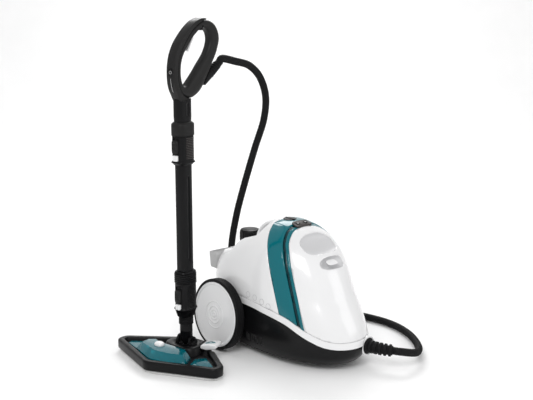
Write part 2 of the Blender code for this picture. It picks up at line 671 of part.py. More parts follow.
def bent_boot(canister, start):
    """The boot bends as it goes, from the gland's direction to the hose's. Returns end and direction."""
    ribs = ribbed_profile(BOOT_LENGTH - 0.016, 0.0158, 0.0148, 5, 0.0030)[1:-1]
    profile = [(GLAND_RADIUS - 0.0025, 0.0), (GLAND_RADIUS - 0.0025, 0.010), (0.0150, 0.0145)]
    profile += [(r, h + 0.016) for r, h in ribs]
    steps = 60
    place, rings, travelled = start.copy(), [], 0.0
    def direction(along):
        share = min(1.0, max(0.0, (along - 0.008) / (BOOT_LENGTH - 0.016)))
        yaw = GLAND_YAW + (BOOT_YAW - GLAND_YAW) * share
        return Vector((math.sin(yaw), -math.cos(yaw), -BOOT_DROOP * share)).normalized()
    for radius, height in profile:
        while travelled < height - 1e-9:
            step = min(BOOT_LENGTH / steps, height - travelled)
            place = place + direction(travelled + step / 2) * step
            travelled += step
        look = direction(height)
        side = look.cross(Vector((0, 0, 1))).normalized()
        up = side.cross(look)
        angles = np.arange(24) * 2 * math.pi / 24
        rings.append(np.array([place + side * (radius * math.cos(a)) + up * (radius * math.sin(a))
                               for a in angles]))
    solid("hose_boot", *lofted(rings), "black_rubber", canister)
    return place, direction(BOOT_LENGTH)


HANDLE_SOCKET = (-0.0825, 0.6865)       # forward, height in the wand's own plane
HANDLE_SOCKET_RISE = math.radians(34.0)
SLEEVE_LENGTH = 0.038


def wand_point(forward, height):
    turn = Matrix.Rotation(WAND_TURN, 3, "Z")
    return Vector(WAND_AT) + turn @ Vector((0.0, -forward, height))


def hose(boot_end, boot_look):
    """The steam hose: from the handle's boot over behind the casing, along the floor, to the gland."""
    first, rise = handle_hose_end()
    last = Vector(CANISTER_AT) + boot_end + boot_look * GAP
    route = [first, first + rise * 0.008, first + rise * 0.022]
    route += [Vector(CANISTER_AT) + Vector(point) for point in ROUTE]
    route += [last + boot_look * 0.018, last + boot_look * 0.006, last]
    line = smooth_line([tuple(p) for p in route], 3)
    curve = bpy.data.curves.new("hose", "CURVE")
    curve.dimensions = "3D"
    curve.bevel_depth = HOSE_RADIUS
    curve.bevel_resolution = 2
    curve.use_fill_caps = True
    spline = curve.splines.new("POLY")
    spline.points.add(len(line) - 1)
    for point, place in zip(spline.points, line):
        point.co = (*place, 1.0)
    made = bpy.data.objects.new("hose", curve)
    curve.materials.append(finish("black_rubber"))
    bpy.context.scene.collection.objects.link(made)


# the hose's own points, in the canister's frame
ROUTE = (
    (-0.062, 0.176, 0.7165),
    (-0.008, 0.187, 0.7020),
    (0.036, 0.197, 0.6680),
    (0.064, 0.208, 0.6150),
    (0.067, 0.220, 0.5530),
    (0.052, 0.236, 0.4830),
    (0.036, 0.256, 0.3960),
    (0.022, 0.278, 0.3000),
    (0.014, 0.292, 0.2100),
    (0.020, 0.300, 0.1300),
    (0.042, 0.306, 0.0620),
    (0.082, 0.306, 0.0230),
    (0.134, 0.292, 0.0125),
    (0.182, 0.262, 0.0112),
    (0.218, 0.214, 0.0110),
    (0.244, 0.155, 0.0110),
    (0.264, 0.095, 0.0110),
    (0.279, 0.038, 0.0110),
    (0.288, -0.020, 0.0110),
    (0.283, -0.075, 0.0115),
    (0.263, -0.130, 0.0130),
    (0.235, -0.176, 0.0160),
    (0.203, -0.216, 0.0200),
    (0.168, -0.250, 0.0260),
    (0.130, -0.270, 0.0330),
)


def handle_hose_end():
    """End of the handle's boot and the direction in which it points."""
    forward, height = HANDLE_SOCKET
    rise = Vector((-math.cos(HANDLE_SOCKET_RISE), math.sin(HANDLE_SOCKET_RISE)))
    turn = Matrix.Rotation(WAND_TURN, 3, "Z")
    direction = turn @ Vector((0.0, -rise.x, rise.y))
    reach = 0.012 + SLEEVE_LENGTH + GAP
    return wand_point(forward + rise.x * reach, height + rise.y * reach), direction


# ---------------------------------------------------------------- wand
# (forward, height) points of the grip, in the wand's own plane
GRIP_INNER = ((-0.065, 0.8045), (-0.084, 0.793), (-0.0885, 0.771), (-0.075, 0.743), (-0.050, 0.717),
              (-0.026, 0.690), (-0.006, 0.671), (0.0075, 0.679), (0.013, 0.706), (0.008, 0.735),
              (-0.010, 0.762), (-0.038, 0.790))
GRIP_OUTER = ((-0.070, 0.8225), (-0.106, 0.812), (-0.1225, 0.782), (-0.114, 0.748), (-0.095, 0.716),
              (-0.076, 0.686), (-0.053, 0.656), (-0.022, 0.642), (0.008, 0.652), (0.0235, 0.680),
              (0.0245, 0.710), (0.0185, 0.741), (0.000, 0.771), (-0.030, 0.803))
SPINE_OUTER = ((-0.074, 0.8262), (-0.060, 0.8268), (-0.041, 0.8215), (-0.020, 0.8080), (0.000, 0.7900), (0.018, 0.7690),
               (0.0305, 0.7450), (0.0365, 0.7180), (0.0370, 0.6900), (0.0330, 0.6680), (0.0250, 0.6520),
               (0.0180, 0.6380))


def plane_points(line):
    """(forward, height) to the wand's own (y, z)."""
    return np.array([(-forward, height) for forward, height in line])


def resample(line, count):
    closed = np.vstack([line, line[0]])
    steps = np.r_[0, np.cumsum(np.linalg.norm(np.diff(closed, axis=0), axis=1))]
    wanted = np.linspace(0, steps[-1], count, endpoint=False)
    return np.stack([np.interp(wanted, steps, closed[:, k]) for k in (0, 1)], axis=1)


def grip_outline(grow=0.0, count=40):
    line = smooth_line(plane_points(GRIP_OUTER), 6, closed=True)
    if grow:
        area = np.sum(line[:, 0] * np.roll(line[:, 1], -1) - np.roll(line[:, 0], -1) * line[:, 1])
        line = offset_line(line, grow * math.copysign(1.0, area))
    return resample(line, count)


def handle(wand):
    """The D-shaped grip, its front spine and neck, and the controls in it."""
    half = GRIP_WIDTH / 2
    outer = grip_outline()
    inner = resample(smooth_line(plane_points(GRIP_INNER), 6, closed=True), 40)
    grip = solid("handle_grip", *prism(outer, -half, half, "X"), "graphite", wand)
    boolean(grip, as_cutter(solid("grip_window", *prism(inner, -0.05, 0.05, "X"), None, wand)))
    bevel(grip, 0.003, 2)

    keep_out = as_cutter(solid("grip_keep_out", *prism(grip_outline(GAP), -0.05, 0.05, "X"), None, wand))
    front = smooth_line(plane_points(SPINE_OUTER), 2)
    back = plane_points(((0.000, 0.638), (-0.03, 0.70), (-0.03, 0.74), (-0.060, 0.800)))
    outline = np.vstack([front, back])
    spine = solid("handle_spine", *prism(outline, -half, half, "X"), "graphite", wand)
    boolean(spine, keep_out)
    bevel(spine, 0.0025, 2)

    rings = []
    for z, half_x, half_y, shift in ((UPPER_Z[2] + GAP, 0.0145, 0.0210, 0.0), (0.600, 0.0150, 0.0220, 0.0),
                                     (0.6375, 0.0148, 0.0220, 0.0), (0.664, 0.0126, 0.0210, 0.006)):
        ring = superellipse(half_x, half_y, 3, 20, (0, shift))
        rings.append(np.column_stack([ring, np.full(20, z)]))
    neck = solid("handle_neck", *lofted(rings), "black_satin", wand)
    boolean(neck, keep_out)
    spine_room = offset_line(outline, -GAP if np.sum(
        outline[:, 0] * np.roll(outline[:, 1], -1) - np.roll(outline[:, 0], -1) * outline[:, 1]) < 0 else GAP)
    boolean(neck, as_cutter(solid("spine_keep_out", *prism(spine_room, -0.05, 0.05, "X"), None, wand)))

    pull = empty("trigger_axis", (0, 0.0345, 0.7815), wand)
    lean = math.radians(-30.0)
    blade = solid("steam_trigger", *block((-0.0055, -0.0035, -0.034), (0.0055, 0.0035, 0.002)), "grey_light",
                  pull, rotation=(lean, 0, 0))
    bevel(blade, 0.001)
    for name, angle, front in (("pulled", lean - math.radians(12.0), -0.0125), ("rest", lean, -0.0045)):
        room = as_cutter(solid("trigger_room_" + name, *block((-0.0065, front, -0.037), (0.0065, 0.006, 0.005)),
                               None, pull, rotation=(angle, 0, 0)))
        boolean(grip, room)
        boolean(spine, room)

    lock = empty("lock_axis", (0, 0.0605, 0.8060), wand)
    solid("trigger_lock", *block((-0.010, -0.0035, -0.0075), (0.010, 0.0035, 0.0035)), "black_satin", lock)
    boolean(grip, as_cutter(solid("lock_room", *block((-0.0145, -0.0038, -0.0080), (0.0145, 0.0038, 0.0040)),
                                  None, lock)))

    press = empty("function_button_axis", (0, -0.0370, 0.7060), wand)
    solid("function_button", *cylinder(0.0070, -0.0006, 0.0070, 24, "Y"), "graphite", press)
    boolean(spine, as_cutter(solid("button_room", *cylinder(0.0074, -0.02, 0.0095, 24, "Y"), None, press)))

    forward, height = HANDLE_SOCKET
    rise = Vector((0, math.cos(HANDLE_SOCKET_RISE), math.sin(HANDLE_SOCKET_RISE)))
    aim = rise.to_track_quat("Z", "Y").to_euler()
    profile = [(0, -0.016), (0.0118, -0.016), (0.0118, 0.0115)]
    profile += [(r, h + 0.012) for r, h in ribbed_profile(SLEEVE_LENGTH, 0.0125, 0.0108, 5, 0.0014)[1:]]
    boot = solid("handle_boot", *turned(profile, 24), "black_rubber", wand, (0, -forward, height), aim)
    boolean(boot, keep_out)


def oval_ring(size, z, grow=0.0, count=20):
    outline = superellipse(size[0] / 2 + grow, size[1] / 2 + grow, 3.2, count)
    return np.column_stack([outline, np.full(count, z)])


def latch_set(wand, name, body, low, high):
    """A sliding catch and a press release on a connector's front."""
    front = -CONNECTOR_SIZE[1] / 2
    width, deep, tall = LATCH_SIZE
    slide = empty(name + "_latch_axis", (0, front, (low + high) / 2), wand)
    solid(name + "_latch", *block((-width / 2, -deep, -tall / 2), (width / 2, 0.003, tall / 2)),
          "graphite", slide)
    boolean(body, as_cutter(solid(name + "_latch_room", *block(
        (-width / 2 - GAP, -0.02, -tall / 2 - 0.001), (width / 2 + GAP, 0.0033, tall / 2 + 0.007)), None, slide)))
    width, deep, tall = RELEASE_SIZE
    press = empty(name + "_release_axis", (0, front, low - 0.0105), wand)
    solid(name + "_release", *block((-width / 2, -deep, -tall / 2), (width / 2, 0.003, tall / 2)),
          "white_gloss", press)
    boolean(body, as_cutter(solid(name + "_release_room", *block(
        (-width / 2 - GAP, -0.02, -tall / 2 - GAP), (width / 2 + GAP, 0.0056, tall / 2 + GAP)), None, press)))


def tube_and_connectors(wand):
    """The extension tube with a connector at each end, each with its collar, catch and release."""
    tube = solid("wand_tube", *lofted([oval_ring(TUBE_SIZE, TUBE_Z[0] + GAP), oval_ring(TUBE_SIZE, TUBE_Z[1] - GAP)]),
                 "black_satin", wand)
    slot_x = TUBE_SIZE[0] / 2
    for side in (-1, 1):
        outline = superellipse(0.0035, 0.105, 8, 20, (0, 0.3535))
        low, high = sorted((side * (slot_x - 0.0015), side * (slot_x + 0.01)))
        boolean(tube, as_cutter(solid("slot_%d" % side, *prism([(y, z) for y, z in outline], low, high, "X"),
                                      None, wand)))
    flare = 0.0025
    base, split, top = UPPER_Z
    upper = solid("upper_connector", *lofted([
        oval_ring(CONNECTOR_SIZE, base, -0.003), oval_ring(CONNECTOR_SIZE, base + 0.006, flare),
        oval_ring(CONNECTOR_SIZE, base + 0.010), oval_ring(CONNECTOR_SIZE, split - GAP)]), "black_satin", wand)
    latch_set(wand, "upper", upper, base + 0.028, base + 0.061)
    solid("upper_collar", *lofted([
        oval_ring(CONNECTOR_SIZE, split, 0.0015), oval_ring(CONNECTOR_SIZE, top - 0.005, 0.0015),
        oval_ring(CONNECTOR_SIZE, top, -0.003)]), "graphite", wand)
    base, split, top = LOWER_Z
    lower = solid("lower_connector", *lofted([
        oval_ring(CONNECTOR_SIZE, base + GAP, -0.005), oval_ring(CONNECTOR_SIZE, base + 0.010, -0.004),
        oval_ring(CONNECTOR_SIZE, base + 0.020, flare), oval_ring(CONNECTOR_SIZE, base + 0.026),
        oval_ring(CONNECTOR_SIZE, split - 0.001), oval_ring(CONNECTOR_SIZE, split, -0.001),
        oval_ring(CONNECTOR_SIZE, split + 0.001, 0.001), oval_ring(CONNECTOR_SIZE, top - 0.004),
        oval_ring(CONNECTOR_SIZE, top, -0.002)]), "black_satin", wand)
    latch_set(wand, "lower", lower, base + 0.038, base + 0.071)
    rear = CONNECTOR_SIZE[1] / 2 - 0.002
    hook = as_cutter(solid("parking_hook", *prism(((rear, 0.150), (rear + 0.006, 0.150), (rear + 0.006, 0.180),
                                         (rear + 0.013, 0.188), (rear + 0.010, 0.192), (rear, 0.184)),
                                        -0.004, 0.004, "X"), None, wand))
    boolean(lower, hook, "UNION")
    low, high = BELLOWS_Z
    profile = [(0, low + GAP)]
    folds = 4
    pitch = (high - low - GAP) / folds
    for k in range(folds):
        z = low + GAP + k * pitch
        profile += [(0.0184, z), (0.0184, z + pitch * 0.55), (0.0162, z + pitch * 0.65), (0.0162, z + pitch * 0.95)]
    profile[-1] = (0.0162, high)
    profile.append((0, high))
    solid("neck_bellows", *turned(profile, 24), "black_rubber", wand)
    solid("brush_neck", *turned(((0, PIVOT_Z - 0.0105), (0.0075, PIVOT_Z - 0.0105), (NECK_PIPE_RADIUS, PIVOT_Z + 0.001),
                                 (NECK_PIPE_RADIUS, BELLOWS_Z[0]), (0, BELLOWS_Z[0])), 24), "black_satin", wand)


# ---------------------------------------------------------------- brush
def brush_outline(inset=0.0):
    """The arrow-shaped plan of the floor brush, (x, y) about the wand's axis."""
    right = [(share * BRUSH_TIPS, -forward) for forward, share in BRUSH_PLAN]
    left = [(-x, y) for x, y in right[::-1] if x > 0]
    line = np.array(right + left)
    if not inset:
        return line
    ahead = np.roll(line, -1, axis=0) - line
    ahead /= np.linalg.norm(ahead, axis=1)[:, None]
    normal = np.stack([-ahead[:, 1], ahead[:, 0]], axis=1)
    moved = []
    for k in range(len(line)):
        a, b = normal[k - 1], normal[k]
        moved.append(line[k] + inset * (a + b) / (1 + a @ b))
    return np.array(moved)


TURRET_RADIUS = 0.027
TURRET_TOP = 0.033


def brush(wand):
    """Floor brush: turret under the wand, base with its rim, tank, inserts, pedal and pad."""
    turret_axis = empty("turret_axis", (0, 0, PIVOT_Z), wand)
    turret = solid("brush_turret", *cylinder(TURRET_RADIUS, BRUSH_FLOOR - PIVOT_Z + GAP + 0.003,
                                             TURRET_TOP - PIVOT_Z, 32), "black_satin", turret_axis)
    cheek = NECK_PIPE_RADIUS + 0.0010
    for side in (-1, 1):
        low, high = sorted((side * cheek, side * (cheek + 0.006)))
        outline = ((0.012, TURRET_TOP - PIVOT_Z - 0.002), (0.010, 0.006), (0.004, 0.011), (-0.004, 0.011),
                   (-0.010, 0.006), (-0.012, TURRET_TOP - PIVOT_Z - 0.002))
        boolean(turret, as_cutter(solid("cheek_%d" % side, *prism(outline, low, high, "X"), None, turret_axis)),
                "UNION")
    boolean(turret, as_cutter(solid("pivot_pin_hole", *cylinder(0.0033, -0.03, 0.03, 16, "X"), None, turret_axis)))
    boolean(bpy.data.objects["brush_neck"], as_cutter(solid(
        "neck_trunnion", *cylinder(0.0030, -cheek - 0.0055, cheek + 0.0055, 16, "X"), None, wand, (0, 0, PIVOT_Z))),
        "UNION")
    boolean(turret, as_cutter(solid("turret_room", *turned(((0, -0.0115), (0.0085, -0.0115), (0.0170, 0.0),
                                                            (0.0170, 0.02), (0, 0.02)), 24), None, turret_axis)))

    low, high = BRUSH_Z
    base = solid("brush_base", *prism(brush_outline(), low, high), "black_satin", wand)
    bevel(base, 0.004, 2, 20)
    boolean(base, as_cutter(solid("brush_well", *prism(brush_outline(BRUSH_RIM), BRUSH_FLOOR, 0.06), None, wand)))
    solid("brush_pad", *prism(brush_outline(0.007), 0.0, PAD_THICK - GAP), "cloth_white", wand)

    hump_top = 0.040
    hump = solid("brush_hump", *lofted([
        np.column_stack([superellipse(0.055, 0.040, 3, 24, (0, -0.004)), np.full(24, BRUSH_FLOOR + GAP)]),
        np.column_stack([superellipse(0.047, 0.034, 3, 24, (0, -0.004)), np.full(24, hump_top)])]),
                 "black_satin", wand)
    boolean(hump, as_cutter(solid("turret_hole", *cylinder(TURRET_RADIUS + RUNNING, 0.0, 0.1, 32), None, wand)))
    boolean(hump, as_cutter(solid("hump_limit", *prism(brush_outline(BRUSH_RIM + GAP), 0.0, 0.1), None, wand)),
            "INTERSECT")
    boolean(hump, as_cutter(solid("pedal_room", *block((-0.021, PEDAL_OUT - 0.0025, 0.0), (0.021, 0.15, 0.1)),
                                  None, wand, rotation=(0, 0, PEDAL_TURN))))

    tank_low, tank_top = BRUSH_FLOOR + GAP, 0.044
    foot = ((-0.050, -0.0475), (-0.064, -0.034), (-0.086, -0.048), (-0.086, -0.088), (-0.014, -0.117),
            (0.034, -0.110), (0.078, -0.087), (0.062, -0.052), (0.050, -0.0475))
    crown = ((-0.046, -0.051), (-0.063, -0.043), (-0.077, -0.054), (-0.075, -0.079), (-0.012, -0.099),
             (0.030, -0.094), (0.064, -0.079), (0.054, -0.058), (0.044, -0.051))
    tank = solid("steam_tank", *lofted([np.array([(x, y, z) for x, y in ring]) for ring, z in
                                        ((foot, tank_low), (foot, tank_low + 0.008), (crown, tank_top))]),
                 "teal_clear", wand)
    bevel(tank, 0.002, 2, 25)
    cap_axis = empty("tank_cap_axis", (-0.026, -0.068, tank_top + GAP), wand)
    solid("tank_cap", *lofted([np.column_stack([superellipse(0.013, 0.011, 2.2, 20), np.full(20, 0.0)]),
                               np.column_stack([superellipse(0.013, 0.011, 2.2, 20), np.full(20, 0.004)]),
                               np.column_stack([superellipse(0.009, 0.0075, 2.2, 20), np.full(20, 0.0075)])]),
          "white_gloss", cap_axis)
    for name, outline in (("left_insert", ((-0.094, -0.082), (-0.138, -0.066), (-0.138, -0.054), (-0.094, -0.026))),
                          ("right_insert", ((0.088, -0.083), (0.138, -0.066), (0.138, -0.054), (0.086, -0.022),
                                            (0.070, -0.044)))):
        solid(name, *prism(outline, BRUSH_FLOOR + GAP, BRUSH_FLOOR + 0.0045), "teal_clear", wand)
    side = empty("pedal_side", (0, 0, 0), wand, turn=PEDAL_TURN)
    pedal_axis = empty("pedal_axis", (0, PEDAL_OUT, 0.037), side)
    pedal = solid("brush_pedal", *prism(((0.0, -0.004), (0.0, 0.004), (0.020, 0.0095), (0.040, 0.010),
                                         (0.044, 0.004), (0.038, -0.002), (0.015, -0.006)),
                                        -0.018, 0.018, "X"), "white_gloss", pedal_axis)
    bevel(pedal, 0.003, 2, 30)
    boolean(base, as_cutter(solid("pedal_well", *block((-0.020, PEDAL_OUT - 0.0045, BRUSH_FLOOR), (0.020, 0.15, 0.1)),
                                  None, side)))


def build():
    clear_scene()
    canister = empty("canister", CANISTER_AT)
    wand = empty("wand", WAND_AT, turn=WAND_TURN)
    shells = casing(canister)
    accessory_bin(canister, shells)
    carry_handle(canister)
    filler(canister)
    controls(canister, shells)
    front_details(canister, shells)
    internals(canister)
    for side, name in ((-1, "left"), (1, "right")):
        side_wheel(canister, shells["base_tray"], side, name)
    caster(canister, shells["base_tray"])
    boot_end, boot_look = hose_socket(canister, shells)
    handle(wand)
    tube_and_connectors(wand)
    brush(wand)
    hose(boot_end, boot_look)


build()
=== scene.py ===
import json
import math

import bmesh
import bpy
import numpy as np
from mathutils import Matrix, Vector

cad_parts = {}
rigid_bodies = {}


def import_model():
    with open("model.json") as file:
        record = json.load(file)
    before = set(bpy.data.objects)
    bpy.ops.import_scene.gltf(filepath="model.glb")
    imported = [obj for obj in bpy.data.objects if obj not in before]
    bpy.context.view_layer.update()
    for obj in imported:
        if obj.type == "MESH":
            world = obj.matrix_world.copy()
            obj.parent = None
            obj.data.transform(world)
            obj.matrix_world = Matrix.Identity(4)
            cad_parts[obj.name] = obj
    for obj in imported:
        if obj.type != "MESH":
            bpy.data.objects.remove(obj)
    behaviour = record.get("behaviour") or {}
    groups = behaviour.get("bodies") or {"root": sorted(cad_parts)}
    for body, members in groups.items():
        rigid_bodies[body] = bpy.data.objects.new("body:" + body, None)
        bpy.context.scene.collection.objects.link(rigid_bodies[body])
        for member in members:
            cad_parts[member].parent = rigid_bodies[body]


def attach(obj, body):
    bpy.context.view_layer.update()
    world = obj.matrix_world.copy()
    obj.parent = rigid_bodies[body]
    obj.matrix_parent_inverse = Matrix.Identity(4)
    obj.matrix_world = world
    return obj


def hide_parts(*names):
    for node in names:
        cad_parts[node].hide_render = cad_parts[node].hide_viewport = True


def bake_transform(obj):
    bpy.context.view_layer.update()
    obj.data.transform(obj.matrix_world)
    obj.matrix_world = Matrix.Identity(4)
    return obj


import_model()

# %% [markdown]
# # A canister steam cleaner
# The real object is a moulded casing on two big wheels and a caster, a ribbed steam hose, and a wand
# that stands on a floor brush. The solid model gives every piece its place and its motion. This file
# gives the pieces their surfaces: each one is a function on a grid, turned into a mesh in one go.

TAU = 2 * math.pi


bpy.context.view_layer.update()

# %% [markdown]
# ## Where things stand
# Two places carry everything. The canister stands with its nose towards -Y. The wand stands beside it
# and looks along its own -Y, turned about the vertical.

# %% Places
CANISTER_AT = np.array((0.111, -0.016, 0.0))
WAND_AT = np.array((-0.1432, 0.121, 0.0))
WAND_TURN = math.radians(-80.0)


def by_canister(points):
    """Canister places to world places: the point plus where the canister stands."""
    return np.asarray(points, float) + CANISTER_AT


def by_wand(points):
    """Wand places to world places: the point turned about the vertical, plus where the wand stands."""
    c, s = math.cos(WAND_TURN), math.sin(WAND_TURN)
    turn = np.array(((c, -s, 0), (s, c, 0), (0, 0, 1)))
    return np.asarray(points, float) @ turn.T + WAND_AT


print("canister at", CANISTER_AT, "wand at", WAND_AT)

# %% [markdown]
# ## The camera
# A long lens from the front left, a little above the casing, which keeps the wand's tube nearly
# upright in the frame.

# %% Camera
EYE_AZIMUTH = math.radians(-40.5)
EYE_HEIGHT = math.radians(12.5)
EYE_DISTANCE = 2.55
LENS_MM = 68.9
LOOK_AT = by_canister((-0.0387, 0.0845, 0.3763))
back = np.array((math.sin(EYE_AZIMUTH) * math.cos(EYE_HEIGHT), -math.cos(EYE_AZIMUTH) * math.cos(EYE_HEIGHT),
                 math.sin(EYE_HEIGHT)))
camera_data = bpy.data.cameras.new("camera")
camera_data.lens = LENS_MM
camera_data.sensor_width = 36.0
camera = bpy.data.objects.new("camera", camera_data)
camera.location = Vector(LOOK_AT + back * EYE_DISTANCE)
camera.rotation_euler = (-Vector(back)).to_track_quat("-Z", "Y").to_euler()
bpy.context.scene.collection.objects.link(camera)
bpy.context.scene.camera = camera
print("camera at", np.round(camera.location, 3))

# %% [markdown]
# ## Turning arrays into meshes
# Every surface below is an array of points in rows and columns. One helper joins neighbouring points
# with quads, closes the columns where the surface runs round, and caps the ends with a fan whose
# middle point keeps the cap free of long thin faces.


# %% Mesh helpers
def mesh_object(name, points, faces, material, body=None, smooth=math.radians(40)):
    """Points and faces made one object at the origin, its faces turned outwards."""
    mesh = bpy.data.meshes.new(name)
    mesh.from_pydata(np.asarray(points, float).tolist(), [], [list(face) for face in faces])
    shape = bmesh.new()
    shape.from_mesh(mesh)
    bmesh.ops.remove_doubles(shape, verts=shape.verts, dist=1e-6)
    bmesh.ops.recalc_face_normals(shape, faces=shape.faces)
    shape.to_mesh(mesh)
    shape.free()
    mesh.shade_smooth()
    if smooth:
        mesh.set_sharp_from_angle(angle=smooth)
    made = bpy.data.objects.new(name, mesh)
    if material:
        mesh.materials.append(material)
    bpy.context.scene.collection.objects.link(made)
    if body:
        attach(made, body)
    return made


def grid_faces(rows, columns, wrap_columns=True, wrap_rows=False):
    """Quads between neighbours on a grid: corner, next column, both, next row."""
    r = np.arange(rows if wrap_rows else rows - 1)
    c = np.arange(columns if wrap_columns else columns - 1)
    a, b = np.meshgrid(r, c, indexing="ij")
    nr, nc = (a + 1) % rows, (b + 1) % columns
    quads = np.stack([a * columns + b, a * columns + nc, nr * columns + nc, nr * columns + b], axis=-1)
    return quads.reshape(-1, 4).tolist()


def loft(rings, capped=True, wrap_rows=False):
    """Rings of equal count joined in order; each end closed by a fan to the ring's own middle."""
    rings = np.asarray(rings, float)
    rows, columns = rings.shape[:2]
    points = rings.reshape(-1, 3)
    faces = grid_faces(rows, columns, True, wrap_rows)
    if capped and not wrap_rows:
        first, last = len(points), len(points) + 1
        points = np.vstack([points, rings[0].mean(axis=0), rings[-1].mean(axis=0)])
        k = np.arange(columns)
        nxt = (k + 1) % columns
        faces += np.stack([k, np.full(columns, first), nxt], axis=1).tolist()
        top = (rows - 1) * columns
        faces += np.stack([top + k, top + nxt, np.full(columns, last)], axis=1).tolist()
    return points, faces


def place_along(direction):
    """The three axes of a turned piece: two across, and one along the way it points."""
    along = np.asarray(direction, float)
    along = along / np.linalg.norm(along)
    helper = np.array((0.0, 0.0, 1.0)) if abs(along[2]) < 0.9 else np.array((0.0, 1.0, 0.0))
    side = np.cross(helper, along)
    side /= np.linalg.norm(side)
    return np.stack([side, np.cross(along, side), along])


def lathe(profile, centre, direction, steps=64, closed=False):
    """A turned piece: at angle t the point is centre + r cos t * side + r sin t * up + h * along."""
    profile = np.asarray(profile, float)
    axes = place_along(direction)
    t = np.arange(steps) * TAU / steps
    circle = np.cos(t)[:, None] * axes[0] + np.sin(t)[:, None] * axes[1]
    rings = profile[:, :1, None] * circle[None] + profile[:, 1:, None] * axes[2] + np.asarray(centre, float)
    return loft(rings, capped=not closed, wrap_rows=closed)


def rounded_box_line(half_x, half_y, power, count):
    """Superellipse: |x / a|^p + |y / b|^p = 1, by the angle t."""
    t = (np.arange(count) + 0.5) * TAU / count
    c, s = np.cos(t), np.sin(t)
    return np.stack([half_x * np.sign(c) * np.abs(c) ** (2 / power),
                     half_y * np.sign(s) * np.abs(s) ** (2 / power)], axis=1)


def through(points, per_span=12, closed=False):
    """A smooth line through points: Catmull-Rom, each span a cubic of its four neighbours."""
    points = np.asarray(points, float)
    if closed:
        padded = np.vstack([points[-1], points, points[0], points[1]])
    else:
        padded = np.vstack([2 * points[0] - points[1], points, 2 * points[-1] - points[-2]])
    u = (np.arange(per_span) / per_span)[None, :, None]
    a, b, c, d = (padded[k:len(padded) - 3 + k, None, :] for k in range(4))
    line = 0.5 * (2 * b + (c - a) * u + (2 * a - 5 * b + 4 * c - d) * u**2 + (3 * b - a - 3 * c + d) * u**3)
    line = line.reshape(-1, points.shape[1])
    return line if closed else np.vstack([line, points[-1]])


def evenly(line, count, closed=False):
    """The same line with its points the same distance apart."""
    if closed:
        line = np.vstack([line, line[0]])
    travelled = np.r_[0, np.cumsum(np.linalg.norm(np.diff(line, axis=0), axis=1))]
    wanted = np.linspace(0, travelled[-1], count, endpoint=not closed)
    return np.stack([np.interp(wanted, travelled, line[:, k]) for k in range(line.shape[1])], axis=1)


def eased(x, xs, ys):
    """A smooth curve through a table: cubic Hermite with the table's own slopes."""
    xs, ys = np.asarray(xs, float), np.asarray(ys, float)
    slopes = np.gradient(ys, xs)
    x = np.clip(np.asarray(x, float), xs[0], xs[-1])
    k = np.clip(np.searchsorted(xs, x) - 1, 0, len(xs) - 2)
    h = xs[k + 1] - xs[k]
    u = (x - xs[k]) / h
    return ((1 + 2 * u) * (1 - u) ** 2 * ys[k] + u * (1 - u) ** 2 * h * slopes[k]
            + u * u * (3 - 2 * u) * ys[k + 1] + u * u * (u - 1) * h * slopes[k + 1])


def about_x(angle):
    """The matrix that turns rows of points about X, used from the right."""
    c, s = math.cos(angle), math.sin(angle)
    return np.array(((1, 0, 0), (0, c, -s), (0, s, c))).T


def prism(outline, low, high, along="X"):
    """An outline carried straight between two heights along one axis, as a closed body."""
    outline = np.asarray(outline, float)
    order = {"X": (2, 0, 1), "Y": (0, 2, 1), "Z": (0, 1, 2)}[along]
    rings = [np.column_stack([outline, np.full(len(outline), h)])[:, order] for h in (low, high)]
    points = np.vstack(rings)
    count = len(outline)
    k = np.arange(count)
    nxt = (k + 1) % count
    faces = np.stack([k, nxt, nxt + count, k + count], axis=1).tolist()
    faces += [k[::-1].tolist(), (k + count).tolist()]
    return points, faces


def work_in(obj):
    """The object's modifiers worked into its mesh for good."""
    graph = bpy.context.evaluated_depsgraph_get()
    fresh = bpy.data.meshes.new_from_object(obj.evaluated_get(graph))
    old = obj.data
    obj.modifiers.clear()
    obj.data = fresh
    fresh.name = obj.name
    bpy.data.meshes.remove(old)


def cut(obj, shape, operation="DIFFERENCE", move=None):
    """One Boolean with a closed shape, applied at once; move takes the shape to its place."""
    points, faces = shape
    if move is not None:
        points = move(points)
    tool = mesh_object("tool", points, faces, None)
    step = obj.modifiers.new("cut", "BOOLEAN")
    step.operation = operation
    step.solver = "EXACT"
    step.object = tool
    work_in(obj)
    bpy.data.objects.remove(tool, do_unlink=True)
    return obj


def soften(obj, width, segments=2, angle=38):
    """A small round on the edges that are sharper than the angle, then smooth shading again."""
    step = obj.modifiers.new("round", "BEVEL")
    step.width = width
    step.segments = segments
    step.limit_method = "ANGLE"
    step.angle_limit = math.radians(angle)
    step.harden_normals = False
    work_in(obj)
    obj.data.shade_smooth()
    obj.data.set_sharp_from_angle(angle=math.radians(50))
    return obj


def report(*objs):
    for obj in objs:
        print(obj.name, len(obj.data.polygons), "faces")


# %% [markdown]
# ## Finishes
# Moulded plastic is never one even colour: gloss varies a little with the tool's polish, and satin
# parts carry a fine spark-eroded grain. Each finish below is a Principled shader whose colour,
# roughness and height are driven by noise at the size the real surface shows.


